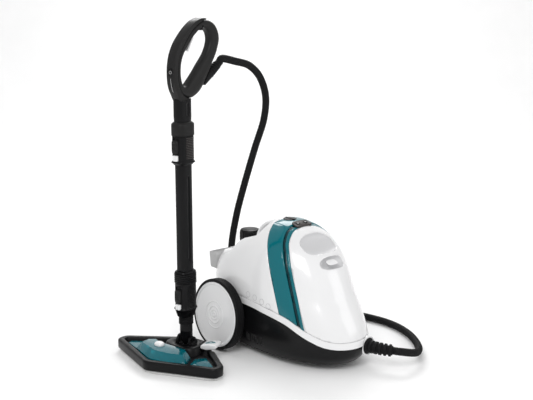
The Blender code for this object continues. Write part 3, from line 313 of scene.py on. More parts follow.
# %% Plastic, rubber and metal
def moulded(name, colour, roughness, grain=0.0, grain_size=900.0, coat=0.0, metallic=0.0, sheen_spots=0.03):
    """Noise at two sizes: a slow one shifts colour and roughness, a fast one raises the grain."""
    made = bpy.data.materials.new(name)
    made.use_nodes = True
    nodes, links = made.node_tree.nodes, made.node_tree.links
    shader = nodes["Principled BSDF"]
    shader.inputs["Metallic"].default_value = metallic
    shader.inputs["Coat Weight"].default_value = coat
    shader.inputs["Coat Roughness"].default_value = 0.05
    shader.inputs["Specular IOR Level"].default_value = 0.5 if max(colour) > 0.3 else 0.16
    where = nodes.new("ShaderNodeTexCoord")
    slow = nodes.new("ShaderNodeTexNoise")
    slow.inputs["Scale"].default_value = 9.0
    slow.inputs["Detail"].default_value = 4.0
    links.new(where.outputs["Object"], slow.inputs["Vector"])
    tint = nodes.new("ShaderNodeMix")
    tint.data_type = "RGBA"
    tint.inputs["A"].default_value = (*[c * (1 - sheen_spots) for c in colour], 1)
    tint.inputs["B"].default_value = (*[min(1.0, c * (1 + sheen_spots)) for c in colour], 1)
    links.new(slow.outputs["Fac"], tint.inputs["Factor"])
    links.new(tint.outputs["Result"], shader.inputs["Base Color"])
    polish = nodes.new("ShaderNodeMapRange")
    polish.inputs["To Min"].default_value = roughness * 0.85
    polish.inputs["To Max"].default_value = min(1.0, roughness * 1.18)
    links.new(slow.outputs["Fac"], polish.inputs["Value"])
    links.new(polish.outputs["Result"], shader.inputs["Roughness"])
    fast = nodes.new("ShaderNodeTexNoise")
    fast.inputs["Scale"].default_value = grain_size
    fast.inputs["Detail"].default_value = 2.0
    links.new(where.outputs["Object"], fast.inputs["Vector"])
    height = nodes.new("ShaderNodeBump")
    height.inputs["Strength"].default_value = max(grain, 0.01)
    height.inputs["Distance"].default_value = 0.0004
    links.new(fast.outputs["Fac"], height.inputs["Height"])
    links.new(height.outputs["Normal"], shader.inputs["Normal"])
    return made


def clear_tint(name, colour, weight):
    """Tinted clear moulding: part of the light goes through, the rest shows the dye."""
    made = moulded(name, colour, 0.08, 0.01, 500.0, coat=0.4)
    shader = made.node_tree.nodes["Principled BSDF"]
    shader.inputs["Transmission Weight"].default_value = weight
    shader.inputs["IOR"].default_value = 1.45
    return made


WHITE = moulded("white_gloss", (0.80, 0.80, 0.805), 0.2, 0.01, 300.0, coat=0.5, sheen_spots=0.008)
# Insides of the grip scoop and the filling basin: the same white moulding, its colour made darker as painted
# shade in the recesses.
WHITE_RECESS_SHADE = moulded("white_satin_inside", (0.60, 0.60, 0.61), 0.42, 0.05, 600.0, sheen_spots=0.02)
TEAL = moulded("teal_gloss", (0.0, 0.135, 0.165), 0.17, 0.01, 300.0, coat=0.5, sheen_spots=0.05)
TEAL_DARK = moulded("teal_dark", (0.0, 0.026, 0.033), 0.24, 0.02, 500.0, coat=0.3, sheen_spots=0.06)
TEAL_CLEAR = clear_tint("teal_clear", (0.0, 0.20, 0.25), 0.45)
BLACK = moulded("black_satin", (0.0045, 0.0045, 0.005), 0.34, 0.12, 900.0, sheen_spots=0.12)
BLACK_GLOSS = moulded("black_gloss", (0.004, 0.004, 0.0045), 0.30, 0.05, 600.0, coat=0.1, sheen_spots=0.1)
GRAPHITE = moulded("graphite_satin", (0.014, 0.0137, 0.0137), 0.38, 0.15, 900.0, sheen_spots=0.1)
RUBBER = moulded("rubber_matt", (0.005, 0.005, 0.0055), 0.58, 0.2, 1100.0, sheen_spots=0.15)
PANEL_GREY = moulded("panel_warm_grey", (0.055, 0.049, 0.047), 0.4, 0.1, 900.0)
LIGHT_GREY = moulded("light_grey_satin", (0.50, 0.50, 0.50), 0.4, 0.08, 900.0)
STEEL = moulded("drawn_steel", (0.55, 0.55, 0.56), 0.3, 0.15, 1500.0, metallic=1.0)
BRASS = moulded("turned_brass", (0.62, 0.44, 0.18), 0.28, 0.1, 1500.0, metallic=1.0)
MARK = moulded("grey_print", (0.42, 0.42, 0.43), 0.45, 0.02, 900.0)
print("finishes:", len(bpy.data.materials))

# %% [markdown]
# ## The casing's surface
# On the real object the casing is moulded in a few shells that share one flowing outer form, so all
# of them are cut from one surface here. At each height the plan is a superellipse whose front half is
# nearly round and whose rear half is squarer. A table gives the reach at a dozen heights and a smooth
# curve fills in between. One function for all shells keeps their seams true.

# %% Casing surface
FRONT_REACH = 0.205
REAR_REACH = 0.248
HALF_WIDTH = 0.1265
BODY_TOP = 0.330
BODY_FOOT = 0.018
WALL = 0.003
SEAM = 0.0007
REACH_X = 0.4
STATIONS = np.array((
    (0.055, 0.90, 0.97, 0.92), (0.10, 0.97, 0.985, 0.965), (0.17, 1.00, 0.995, 0.99),
                     (0.273, 0.966, 1.0, 1.0),
    (0.424, 0.84, 1.0, 1.0), (0.515, 0.75, 1.0, 0.99), (0.606, 0.688, 0.985, 0.965),
                     (0.697, 0.615, 0.90, 0.925),
    (0.758, 0.551, 0.80, 0.885), (0.818, 0.473, 0.70, 0.825), (0.879, 0.371, 0.60, 0.725),
    (0.924, 0.254, 0.50, 0.61), (0.964, 0.122, 0.40, 0.455), (0.991, -0.02, 0.31, 0.30),
                     (1.0, -0.08, 0.26, 0.20),
))


def casing_rings(shares, inset=0.0, count=128):
    """Ring at a share of the height: x = a cos^(2/p) t, y = middle + b sin^(2/p) t, drawn in by inset."""
    shares = np.asarray(shares, float)[:, None]
    front, rear, width = (eased(shares, STATIONS[:, 0], STATIONS[:, k]) for k in (1, 2, 3))
    nose, tail = -front * FRONT_REACH + inset, rear * REAR_REACH - inset
    half = width * HALF_WIDTH - inset
    t = ((np.arange(count) + 0.5) * TAU / count)[None, :]
    c, s = np.cos(t), np.sin(t)
    square = 3.4 + (2.2 - 3.4) * np.clip((shares - 0.62) / 0.38, 0, 1)
    power = np.where(s < 0, 2.1, square)
    x = half * np.sign(c) * np.abs(c) ** (2 / power)
    y = (nose + tail) / 2 + (tail - nose) / 2 * np.sign(s) * np.abs(s) ** (2 / power)
    z = shares * BODY_TOP - inset * np.clip((shares - 0.5) / 0.5, 0, 1) ** 2 + 0 * t
    return np.stack([x, y, z], axis=-1)


def casing_shape(inset=0.0, low=0.055, rows=72, count=128):
    """The whole casing as one closed body, its rings closer together near the crown."""
    u = np.linspace(0, 1, rows)
    shares = low + (1.0 - low) * (1 - (1 - u) ** 1.6)
    return loft(casing_rings(shares, inset, count))


def casing_object(name, material, sunk=0.0, low=0.1):
    points, faces = casing_shape(sunk, low)
    return mesh_object(name, by_canister(points), faces, material, "canister")


def across(outline):
    """A (y, z) outline carried right across the casing."""
    return prism(outline, -REACH_X, REACH_X, "X")


print("casing", 2 * HALF_WIDTH, "wide,", FRONT_REACH + REAR_REACH, "long,", BODY_TOP, "high")

# %% [markdown]
# ## Seams
# The shells meet along lines that show from the side: the foot line where white meets black, the two
# edges of the leaning teal band, and the shoulder that drops behind the carry handle. Each line is a
# smooth curve through a few points, and a seam is the narrow gap left on both sides of it.

# %% Seam lines
FOOT_SEAM = ((-0.30, 0.058), (-0.19, 0.060), (-0.13, 0.080), (-0.07, 0.108), (0.0, 0.122), (0.07, 0.128),
             (0.30, 0.132))
SKIRT_HEIGHT = 0.016
BAND_REAR = np.array(((-0.089, 0.030), (-0.058, 0.115), (-0.028, 0.190), (0.003, 0.262), (0.026, 0.298),
                      (0.042, 0.316), (0.050, 0.327), (0.054, 0.345)))
BAND_FRONT = np.array(((-0.149, 0.030), (-0.1155, 0.115), (-0.085, 0.190), (-0.0545, 0.262), (-0.031, 0.298),
                       (-0.018, 0.316), (-0.012, 0.327), (-0.010, 0.345)))
BAND_SHARES = (0.0, 0.74, 0.87, 1.0)
BAND_RECESS = 0.0016
SHOULDER = ((0.064, 0.40), (0.064, 0.306), (0.070, 0.294), (0.082, 0.288), (0.110, 0.282), (0.130, 0.271),
            (0.151, 0.2440), (0.30, 0.2440), (0.30, 0.40))
BIN_SEAM = ((0.30, 0.150), (0.238, 0.152), (0.212, 0.163), (0.196, 0.184), (0.190, 0.224), (0.150, 0.243),
            (0.150, 0.40), (0.30, 0.40))
BIN_RIM = ((0.30, 0.212), (0.140, 0.246))

foot_line = through(FOOT_SEAM, 6)


def under(line, closed_z, lift=0.0):
    """The region between a seam line and a level: the line, lifted, then back along the level."""
    return np.vstack([line + (0, lift), (line[-1][0], closed_z), (line[0][0], closed_z)])


def band_line(share, ahead=0.0):
    """A line part of the way from the band's rear edge to its front edge."""
    line = through(BAND_REAR + share * (BAND_FRONT - BAND_REAR), 6)
    return line - (ahead, 0)


def moved_in(line, distance):
    line = np.array(line, float)
    line[:, 0] -= np.where(line[:, 0] < 0.29, distance, 0)
    line[:, 1] -= distance
    return line


print("seam lines:", len(foot_line), "points at the foot")

# %% [markdown]
# ## Shells, skirt and base
# Each shell starts as the whole casing and keeps only what lies between its seams. It is hollowed by
# the same surface drawn in by the wall, so that every opening shows a real thickness.

# %% Shells
half_seam = SEAM / 2
hollow = casing_shape(WALL, 0.04, 48, 96)


def shell(name, material, outline, sunk=0.0):
    made = casing_object(name, material, sunk)
    cut(made, across(outline), "INTERSECT", by_canister)
    cut(made, across(under(foot_line, 0.5, SKIRT_HEIGHT + half_seam)), "INTERSECT", by_canister)
    if name == "casing_rear":
        points, faces = hollow
        core = mesh_object("core", by_canister(points), faces, None)
        cut(core, across(moved_in(SHOULDER, WALL)), "DIFFERENCE", by_canister)
        core_shape = (np.array([v.co for v in core.data.vertices]),
                      [tuple(p.vertices) for p in core.data.polygons])
        bpy.data.objects.remove(core, do_unlink=True)
        cut(made, core_shape, "DIFFERENCE")
    else:
        cut(made, hollow, "DIFFERENCE", by_canister)
    return made


rear_outline = np.vstack([band_line(0.0, -half_seam), (0.5, 0.345), (0.5, 0.03)])
front_outline = np.vstack([band_line(1.0, half_seam), (-0.5, 0.345), (-0.5, 0.03)])
rear_shell = shell("casing_rear", WHITE, rear_outline)
front_shell = shell("casing_front", WHITE, front_outline)
strips = []
for strip_name, finish_of, k, sunk in (("band_wide_strip", TEAL, 0, 0.0),
                                       ("band_dark_groove", TEAL_DARK, 1, BAND_RECESS),
                                       ("band_front_strip", TEAL, 2, 0.0)):
    outline = np.vstack([band_line(BAND_SHARES[k], half_seam),
                         band_line(BAND_SHARES[k + 1], -half_seam)[::-1]])
    strips.append(shell(strip_name, finish_of, outline, sunk))
cut(rear_shell, across(SHOULDER), "DIFFERENCE", by_canister)
cut(rear_shell, across(BIN_SEAM), "DIFFERENCE", by_canister)
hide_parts("rear_shell")
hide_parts("front_shell")
for made, node in zip(strips, ("band_rear", "band_groove", "band_front")):
    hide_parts(node)
report(rear_shell, front_shell, *strips)

# %% Skirt and base tray
skirt = casing_object("casing_skirt", WHITE, -0.0012, 0.055)
cut(skirt, across(under(foot_line, 0.5, half_seam)), "INTERSECT", by_canister)
cut(skirt, across(under(foot_line, -0.05, SKIRT_HEIGHT - half_seam)), "INTERSECT", by_canister)
cut(skirt, hollow, "DIFFERENCE", by_canister)
soften(skirt, 0.0010, 2, 50)
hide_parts("skirt")
base = casing_object("casing_base", BLACK_GLOSS, 0.0, 0.055)
cut(base, across(under(foot_line, -0.05, -half_seam)), "INTERSECT", by_canister)
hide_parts("base_tray")
report(skirt, base)

# %% [markdown]
# ## Under the base
# The caster turns in a round cup under the nose. On the real base the cup is moulded in, so here it is
# cut from the base's solid, with a row of slots for cooling air along each side.

# %% Caster cup and air slots
CASTER_AT = np.array((0.0, -0.098, 0.0))
CUP_RADIUS = 0.0375
t = np.arange(48) * TAU / 48
circle = np.stack([np.cos(t), np.sin(t)], axis=1)
cut(base, prism(circle * CUP_RADIUS + CASTER_AT[:2], -0.05, 0.055, "Z"), "DIFFERENCE", by_canister)
cut(base, casing_shape(WALL, (BODY_FOOT + 0.045) / BODY_TOP, 24, 64), "DIFFERENCE", by_canister)
for k in range(4):
    slot_line = rounded_box_line(0.0014, 0.0085, 3, 12) + (0.004 + 0.017 * k, 0.046)
    cut(base, across(slot_line), "DIFFERENCE", by_canister)
report(base)

# %% [markdown]
# ## The accessory bin
# Behind the handle the top is an open tray with a pocket for small nozzles on each side of the filler.
# It is the casing's own surface again, kept between the bin's seam and its sloping rim, with the
# pockets sunk into it as rounded boxes that narrow a little towards the floor.

# %% Bin
POCKET_INNER = 0.046
CAP_AT = np.array((0.0, 0.197, 0.0))
bin_line = np.array(BIN_SEAM)
bin_line[:, 1] += 0.0003
bin_line[1:, 0] += np.where(bin_line[1:, 0] < 0.29, 0.0003, 0)
tray = casing_object("bin_tray", WHITE, 0.0, 0.3)
cut(tray, across(bin_line), "INTERSECT", by_canister)
cut(tray, across(list(BIN_RIM) + [(0.14, 0.5), (0.30, 0.5)]), "DIFFERENCE", by_canister)


def pocket(side, grow=0.0):
    """Rounded box whose plan shrinks downwards: half sizes times 1 at the rim, 0.9 at the floor."""
    outer = 0.1085
    middle = np.array((side * (outer + POCKET_INNER) / 2, 0.2195))
    half = np.array(((outer - POCKET_INNER) / 2, 0.0195))
    rings = []
    for z, share in ((0.184, 0.86), (0.186, 0.9), (0.215, 0.97), (0.30, 1.0)):
        line = rounded_box_line(*(half * share + grow), 5, 48) + middle
        rings.append(np.column_stack([line, np.full(48, z + (0 if z > 0.2 else grow))]))
    return loft(rings)


for side in (-1, 1):
    cut(tray, pocket(side), "DIFFERENCE", by_canister)
soften(tray, 0.0012, 2, 50)
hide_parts("accessory_bin")
for side, label in ((-1, "left"), (1, "right")):
    points, faces = pocket(side, -0.0002)
    lining = mesh_object("bin_lining_" + label, by_canister(points), faces, LIGHT_GREY, "canister")
    cut(lining, pocket(side, -0.0010), "DIFFERENCE", lambda p: by_canister(p + (0, 0, 0.0009)))
    cut(lining, across(list(np.array(BIN_RIM) - (0, 0.0015)) + [(0.14, 0.5), (0.30, 0.5)]), "DIFFERENCE",
        by_canister)
    report(lining)
report(tray)

# %% [markdown]
# ## Carry handle
# One arched bar from the band to the shoulder. A rounded section is carried along a smooth line; it
# swells where it meets the casing, as a moulded handle does at its roots.

# %% Handle bar
HANDLE_LINE = ((0.0655, 0.3200), (0.085, 0.3175), (0.106, 0.3085), (0.124, 0.2930), (0.134, 0.2740),
               (0.137, 0.2560))
line = evenly(through(HANDLE_LINE, 10), 40)
ahead = np.gradient(line, axis=0)
ahead /= np.linalg.norm(ahead, axis=1)[:, None]
normal = np.stack([-ahead[:, 1], ahead[:, 0]], axis=1)
u = np.linspace(0, 1, 40)
swell = 1 + 0.06 * np.exp(-(u / 0.12) ** 2) + 0.04 * np.exp(-((1 - u) / 0.12) ** 2)
section = rounded_box_line(0.0285, 0.0060, 2.8, 36)
rings = np.stack([section[None, :, 0] * swell[:, None] * np.ones((40, 36)),
                  line[:, None, 0] + normal[:, None, 0] * section[None, :, 1],
                  line[:, None, 1] + normal[:, None, 1] * section[None, :, 1]], axis=-1)
points, faces = loft(rings)
bar = mesh_object("carry_bar", by_canister(points), faces, WHITE, "canister")
cut(bar, prism(moved_in(SHOULDER, -0.0003), -0.05, 0.05, "X"), "INTERSECT", by_canister)
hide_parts("carry_handle")
report(bar)

# %% [markdown]
# ## Boiler cap
# A screw cap of hard black plastic, knurled so that a hand can turn it: the radius goes in and out
# with the angle, and the knurl fades out on the domed top.

# %% Cap and neck
rows = ((0.0165, 0.2438), (0.0260, 0.2438), (0.0270, 0.2455), (0.0270, 0.2660), (0.0263, 0.2700),
        (0.0236, 0.2740),
        (0.0165, 0.27585), (0.0080, 0.2760))
count = 144
t = np.arange(count) * TAU / count
rings = []
for radius, height in rows:
    knurl = 0.0011 * (0.5 + 0.5 * np.cos(24 * t)) ** 1.5 * (1 if 0.2445 < height < 0.271 else 0)
    r = radius - knurl
    rings.append(np.stack([r * np.cos(t), r * np.sin(t), np.full(count, height)], axis=1) + CAP_AT)
points, faces = loft(rings)
cap = mesh_object("screw_cap", by_canister(points), faces, BLACK, "safety_cap")
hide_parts("boiler_cap")
report(cap)

# %% [markdown]
# ## Controls
# A warm grey panel lies on the crown and carries two push buttons. Behind it stands a low dial with a
# raised pointer, for setting the steam.

# %% Dial
DIAL_AT = (0.0, 0.040, 0.3277 + 0.0006)
dial_profile = ((0.0165, 0.0), (0.0170, 0.0005), (0.0170, 0.0020), (0.0162, 0.0029), (0.0142, 0.0034),
                (0.0115, 0.0036),
                (0.0020, 0.0037))
points, faces = lathe(dial_profile, by_canister(DIAL_AT), (0, 0, 1), 96)
dial = mesh_object("dial_knob", points, faces, BLACK, "dial")
ridge = through(((-0.0030, -0.0145), (0.0030, -0.0145), (0.0022, 0.0130), (-0.0022, 0.0130)), 4, True)
points, faces = prism(ridge + np.array(DIAL_AT)[:2], DIAL_AT[2] + 0.0020, DIAL_AT[2] + 0.0050, "Z")
pointer = mesh_object("dial_pointer", by_canister(points), faces, GRAPHITE, "dial")
soften(pointer, 0.0008, 2)
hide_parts("steam_dial")
report(dial, pointer)

# %% Panel and buttons
PANEL_Y, BUTTON_SPREAD = -0.003, 0.012
PANEL_LEAN = math.radians(16.1)
PANEL_Z = 0.32486


def leaning(points):
    """Panel places to canister places: turned about X by the crown's lean, then lifted to the crown."""
    return np.asarray(points, float) @ about_x(PANEL_LEAN) + (0, PANEL_Y, PANEL_Z)


outline = rounded_box_line(0.025, 0.0135, 5, 64)
outline[:, 0] *= 1.0 - 6.0 * outline[:, 1]
rings = [np.column_stack([outline * k, np.full(64, z)]) for k,
         z in ((1.0, -0.006), (1.0, 0.0024), (0.985, 0.0030),
                                                                     (0.96, 0.0032))]
points, faces = loft(rings)
panel = mesh_object("crown_panel", by_canister(leaning(points)), faces, PANEL_GREY, "canister")
cut(panel, casing_shape(-0.0003), "DIFFERENCE", by_canister)
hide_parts("control_panel")
for side, label, body in ((-1, "power_button", "power_key"), (1, "boiler_button", "boiler_key")):
    well = lathe(((0.0054, -0.02), (0.0054, 0.02)), (side * BUTTON_SPREAD, 0, 0), (0, 0, 1), 32)
    cut(panel, well, "DIFFERENCE", lambda p: by_canister(leaning(p)))
    dome = ((0.0048, 0.0018), (0.0048, 0.0038), (0.0044, 0.0044), (0.0030, 0.0046), (0.0012, 0.0045))
    points, faces = lathe(dome, (side * BUTTON_SPREAD, 0, 0), (0, 0, 1), 48)
    key = mesh_object(label + "_key", by_canister(leaning(points)), faces, GRAPHITE, body)
    points, faces = lathe(((0.0015, 0.0040), (0.0022, 0.0047), (0.0015, 0.00485), (0.0008, 0.0047)),
                          (side * BUTTON_SPREAD, 0, 0),
                          (0, 0, 1), 32, closed=True)
    mesh_object(label + "_ring", by_canister(leaning(points)), faces, LIGHT_GREY, body)
    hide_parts(label)
    report(key)
report(panel)

# %% [markdown]
# ## Recesses in the nose
# The grip scoop and the filling basin are dished: an ellipsoid is cut out of the shell, and a thin
# bowl of the same form, in a darker white that is painted shade, closes it from behind. A small flap lies
# over the basin on its hinge.


# %% Scoop, basin and flap
def nose_y(height):
    return -float(eased(height / BODY_TOP, STATIONS[:, 0], STATIONS[:, 1])) * FRONT_REACH


def dished(height, across_by, radii, lean, grow=0.0):
    """Bowl on the nose: rings shrink with depth d as (1 - |d|^2.4)^(1/2.4), then all lean with the nose."""
    d = np.linspace(-0.995, 0.995, 31)
    line = rounded_box_line(1.0, 1.0, 2.5, 84)
    size = (1 - np.abs(d) ** 2.4)[:, None] ** (1 / 2.4)
    a, b, c = (r + grow for r in radii)
    rings = np.stack([size * line[None, :, 0] * a, size * line[None, :, 1] * b,
                      d[:, None] * c * np.ones((31, 84))],
                     axis=-1)
    return loft(rings @ about_x(lean) + (across_by, nose_y(height), height))


SCOOP = (0.2935, 0.0, (0.062, 0.034, 0.020), math.radians(36.0))
BASIN = (0.250, 0.010, (0.046, 0.0165, 0.016), math.radians(57.5))
for bowl_of, label, node in ((SCOOP, "scoop_bowl", "grip_scoop"), (BASIN, "basin_bowl", "fill_basin")):
    cut(front_shell, dished(*bowl_of), "DIFFERENCE", by_canister)
    points, faces = dished(*bowl_of, 0.0022)
    # The bowl's darker white is painted shade in the recess.
    bowl = mesh_object(label, by_canister(points), faces, WHITE_RECESS_SHADE, "canister")
    cut(bowl, casing_shape(WALL + 0.0003, 0.06, 60, 96), "INTERSECT", by_canister)
    cut(bowl, dished(*bowl_of), "DIFFERENCE", by_canister)
    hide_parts(node)
    report(bowl)
outline = rounded_box_line(0.016, 0.009, 3, 48) + (0, -0.0095)
rings = [np.column_stack([outline * k + (0, -0.0095 * (1 - k)), np.full(48, z)])
         for k, z in ((0.96, -0.0012), (1.0, -0.0006), (1.0, 0.0006), (0.96, 0.0012), (0.6, 0.0016))]
points, faces = loft(rings)
flap = mesh_object("basin_flap", by_canister(points @ about_x(math.radians(25)) + (0, nose_y(0.262),
                                                                                   0.2545)), faces, WHITE,
                   "flap")
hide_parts("fill_flap")
report(flap, front_shell)

# %% [markdown]
# ## Wheels
# Each big wheel has a soft tyre on a hard rim and a white domed cap that clips over its face. The cap's
# dome carries shallow rings round its middle. All of it is turned about an axle that leans a little.

# %% Wheels
WHEEL_RADIUS, TYRE_WIDTH, TYRE_DEPTH = 0.090, 0.024, 0.0075
CAMBER = math.radians(4.0)
half = TYRE_WIDTH / 2
WHEEL_Z = WHEEL_RADIUS * math.cos(CAMBER) + half * math.sin(CAMBER)
WHEEL_X = HALF_WIDTH + 0.0135 + half * math.cos(CAMBER) + WHEEL_RADIUS * math.sin(CAMBER) * 0.5
rim = WHEEL_RADIUS - TYRE_DEPTH


def cap_height(r):
    """The cap's dome, with rings: falls with r squared, plus narrow raised bands at four radii."""
    dome = 0.0034 * (1 - (r / rim) ** 2)
    bands = sum(h * np.exp(-(((r - at) / wide) ** 4)) for at, wide, h in
                ((0.0050, 0.0020, 0.0010), (0.0125, 0.0016, 0.0010), (0.0215, 0.0018, 0.0012),
                 (0.0340, 0.0016, 0.0010)))
    lip = 0.0016 * np.exp(-(((r - (rim - 0.004)) / 0.0028) ** 4))
    return half - 0.004 + 0.0003 + 0.0020 + dome + bands + lip


for side, label in ((-1, "left"), (1, "right")):
    body = label + "_wheel_body"
    centre = by_canister((side * WHEEL_X, 0.135, WHEEL_Z))
    out = (side * math.cos(CAMBER), 0, math.sin(CAMBER))
    shoulder = 0.0032
    tread = [(rim + 0.0003, -half)] + [
        (WHEEL_RADIUS - shoulder + shoulder * math.sin(a), -half + shoulder - shoulder * math.cos(a))
        for a in np.linspace(0, math.pi / 2, 7)]
    for k in range(1, 4):
        at = -half + TYRE_WIDTH * k / 4
        tread += [(WHEEL_RADIUS, at - 0.0009), (WHEEL_RADIUS - 0.0009, at - 0.0005),
                  (WHEEL_RADIUS - 0.0009, at + 0.0005),
                  (WHEEL_RADIUS, at + 0.0009)]
    tread += [(WHEEL_RADIUS - shoulder + shoulder * math.sin(a), half - shoulder + shoulder * math.cos(a))
              for a in np.linspace(math.pi / 2, 0, 7)]
    tread += [(rim + 0.0003, half)]
    points, faces = lathe(tread, centre, out, 128, closed=True)
    tyre = mesh_object(label + "_tread", points, faces, RUBBER, body)
    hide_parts(label + "_tyre")
    hub = ((0.0056, -half + 0.002), (0.020, -half + 0.002), (0.022, -0.004), (rim - 0.012, -0.004),
           (rim - 0.008, -half + 0.002), (rim, -half + 0.002), (rim, half - 0.004),
           (rim - 0.004, half - 0.004),
           (rim - 0.006, 0.002), (0.018, 0.002), (0.016, half - 0.006), (0.0056, half - 0.006))
    points, faces = lathe(hub, centre, out, 96, closed=True)
    core = mesh_object(label + "_rim", points, faces, BLACK, body)
    soften(core, 0.0006, 2)
    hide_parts(label + "_wheel")
    r = np.linspace(rim - 0.0012, 0.003, 120)
    face = [(rim - 0.001, half - 0.0037), (rim - 0.0005, half - 0.0034), (rim - 0.0005, half - 0.0005)]
    profile = [(0.002, half - 0.0037)] + face + list(zip(r, cap_height(r)))
    points, faces = lathe(profile, centre, out, 144)
    cover = mesh_object(label + "_cap", points, faces, WHITE, body, smooth=math.radians(50))
    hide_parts(label + "_hub_cap")
    report(tyre, core, cover)

# %% [markdown]
# ## Caster
# A forked swivel with a small rubber wheel. It is all in shadow, so its few pieces stay simple: a
# turned plate, two cheeks and a turned wheel.

# %% Caster pieces
trail, caster_r = 0.013, 0.019
points, faces = lathe(((0.0292, 0.0495), (0.0300, 0.0503), (0.0300, 0.0535), (0.0060, 0.0540),
                       (0.0040, 0.0560),
                       (0.0038, 0.0635)), by_canister(CASTER_AT), (0, 0, 1), 64)
fork = mesh_object("caster_plate", points, faces, BLACK, "caster")
for side in (-1, 1):
    line = through(((-0.020, 0.0505), (-0.021, 0.018), (-0.013, 0.0125), (-0.005, 0.018), (-0.004, 0.0505)),
                   6)
    low, high = sorted((side * 0.009, side * 0.013))
    points, faces = prism(line, low, high, "Y")
    cheek = mesh_object("caster_cheek_" + ("inner" if side < 0 else "outer"),
                        by_canister(points + CASTER_AT), faces,
                        BLACK, "caster")
    soften(cheek, 0.0008, 2)
points, faces = lathe(((0.0028, -0.0125), (0.0028, 0.0125)), by_canister((-trail, CASTER_AT[1], caster_r)),
                      (0, 1, 0), 24)
pin = mesh_object("caster_axle", points, faces, STEEL, "caster")
roller = ((0.0031, -0.008), (0.0165, -0.008), (0.0182, -0.0072), (0.0190, -0.0055), (0.0190, 0.0055),
          (0.0182, 0.0072),
          (0.0165, 0.008), (0.0031, 0.008))
points, faces = lathe(roller, by_canister((-trail, CASTER_AT[1], caster_r)), (0, 1, 0), 64, closed=True)
small_wheel = mesh_object("caster_tyre", points, faces, RUBBER, "caster_roller")
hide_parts("caster_fork")
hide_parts("caster_wheel")
report(fork, pin, small_wheel)

# %% [markdown]
# ## Hose gland and its boot
# The hose leaves the nose through a white collar. A soft black boot grips it there, and bends with it,
# which saves the hose from kinking at the edge. Its thick rings get thinner towards the hose.

# %% Collar
GLAND_YAW, BOOT_YAW, BOOT_DROOP = math.radians(6.0), math.radians(38.0), 0.07
GLAND_RADIUS, HOSE_RADIUS, BOOT_LENGTH = 0.0215, 0.0095, 0.072
GLAND_X, GLAND_Z = 0.042, 0.052
ring = casing_rings([GLAND_Z / BODY_TOP])[0]
nose = ring[ring[:, 1] < 0]
nose = nose[np.argsort(nose[:, 0])]
gland_face = np.array((GLAND_X, np.interp(GLAND_X, nose[:, 0], nose[:, 1]), GLAND_Z))
gland_look = np.array((math.sin(GLAND_YAW), -math.cos(GLAND_YAW), 0.0))
gland_back = gland_face - gland_look * 0.012
hole = lathe(((GLAND_RADIUS + 0.0034, -0.03), (GLAND_RADIUS + 0.0034, 0.05)), gland_back, gland_look, 64)
for obj in (base, skirt, front_shell):
    cut(obj, hole, "DIFFERENCE", by_canister)
collar_profile = ((0.0128, 0.0), (0.0243, 0.0), (0.0243, 0.0160), (0.0238, 0.0174), (0.0226, 0.0180),
                  (0.0206, 0.0180),
                  (0.0197, 0.0172), (0.0195, 0.0160), (0.0195, 0.0080), (0.0128, 0.0080))
points, faces = lathe(collar_profile, by_canister(gland_back), gland_look, 96, closed=True)
gland = mesh_object("gland_collar", points, faces, WHITE, "canister")
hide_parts("hose_gland")
report(gland)


# %% Boot
def looks(along):
    """The boot's direction: its yaw and droop grow evenly between the collar and the hose."""
    share = np.clip((np.asarray(along) - 0.008) / (BOOT_LENGTH - 0.016), 0, 1)
    yaw = GLAND_YAW + (BOOT_YAW - GLAND_YAW) * share
    way = np.stack([np.sin(yaw), -np.cos(yaw), -BOOT_DROOP * share], axis=-1)
    return way / np.linalg.norm(way, axis=-1, keepdims=True)


def pipe(path, radii, count=40, capped=True):
    """Rings square to a path: each ring's axes are the last ring's, turned by the path's own bend."""
    path = np.asarray(path, float)
    ahead = np.gradient(path, axis=0)
    ahead /= np.linalg.norm(ahead, axis=1)[:, None]
    side = np.cross(ahead[0], (0.0, 0.0, 1.0))
    side = side if np.linalg.norm(side) > 1e-3 else np.array((1.0, 0.0, 0.0))
    sides = np.empty_like(path)
    for k, way in enumerate(ahead):
        side = side - way * (side @ way)
        side = side / np.linalg.norm(side)
        sides[k] = side
    ups = np.cross(ahead, sides)
    t = np.arange(count) * TAU / count
    r = np.asarray(radii, float)[:, None, None]
    rings = path[:, None] + r * (np.cos(t)[None, :, None] * sides[:, None] + np.sin(t)[None, :,
                                                                                       None] * ups[:, None])
    return loft(rings, capped)


def ringed(along, first, last, pitch, thick, thin, depth):
    """Radius of a ringed boot: a taper from first to last, less depth wherever the ring's wave is low."""
    taper = first + (last - first) * along / along[-1]
    wave = 0.5 - 0.5 * np.cos(TAU * np.clip((along % pitch) / pitch / thick, 0, 1))
    return taper - depth * (1 - np.clip(wave * 2.2, 0, 1)) * thin


steps = 241
along = np.linspace(0, BOOT_LENGTH, steps)
centre = gland_face - gland_look * 0.0037 + np.vstack([np.zeros(3), np.cumsum(
    looks((along[1:] + along[:-1]) / 2) * (BOOT_LENGTH / (steps - 1)), axis=0)])
tail = along - 0.015
radii = np.where(tail > 0, ringed(np.clip(tail, 0, None), 0.0158, 0.0146, (BOOT_LENGTH - 0.015) / 5, 0.86,
                                  1.0, 0.0034),
                 0.0188)
radii = np.where((tail > -0.004) & (tail <= 0), 0.0188 - 0.0064 * (tail + 0.004) / 0.004, radii)
points, faces = pipe(by_canister(centre), radii, 56)
boot = mesh_object("gland_boot", points, faces, RUBBER, "canister")
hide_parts("hose_boot")
report(boot)
boot_end, boot_look = by_canister(centre[-1]), looks(BOOT_LENGTH)

# %% [markdown]
# ## The steam hose
# One length of ringed hose runs from the back of the handle, down behind the casing, round on the
# floor and into the boot at the nose. A smooth line through its route gives the middle, and the
# radius dips between rings a little over three millimetres apart.

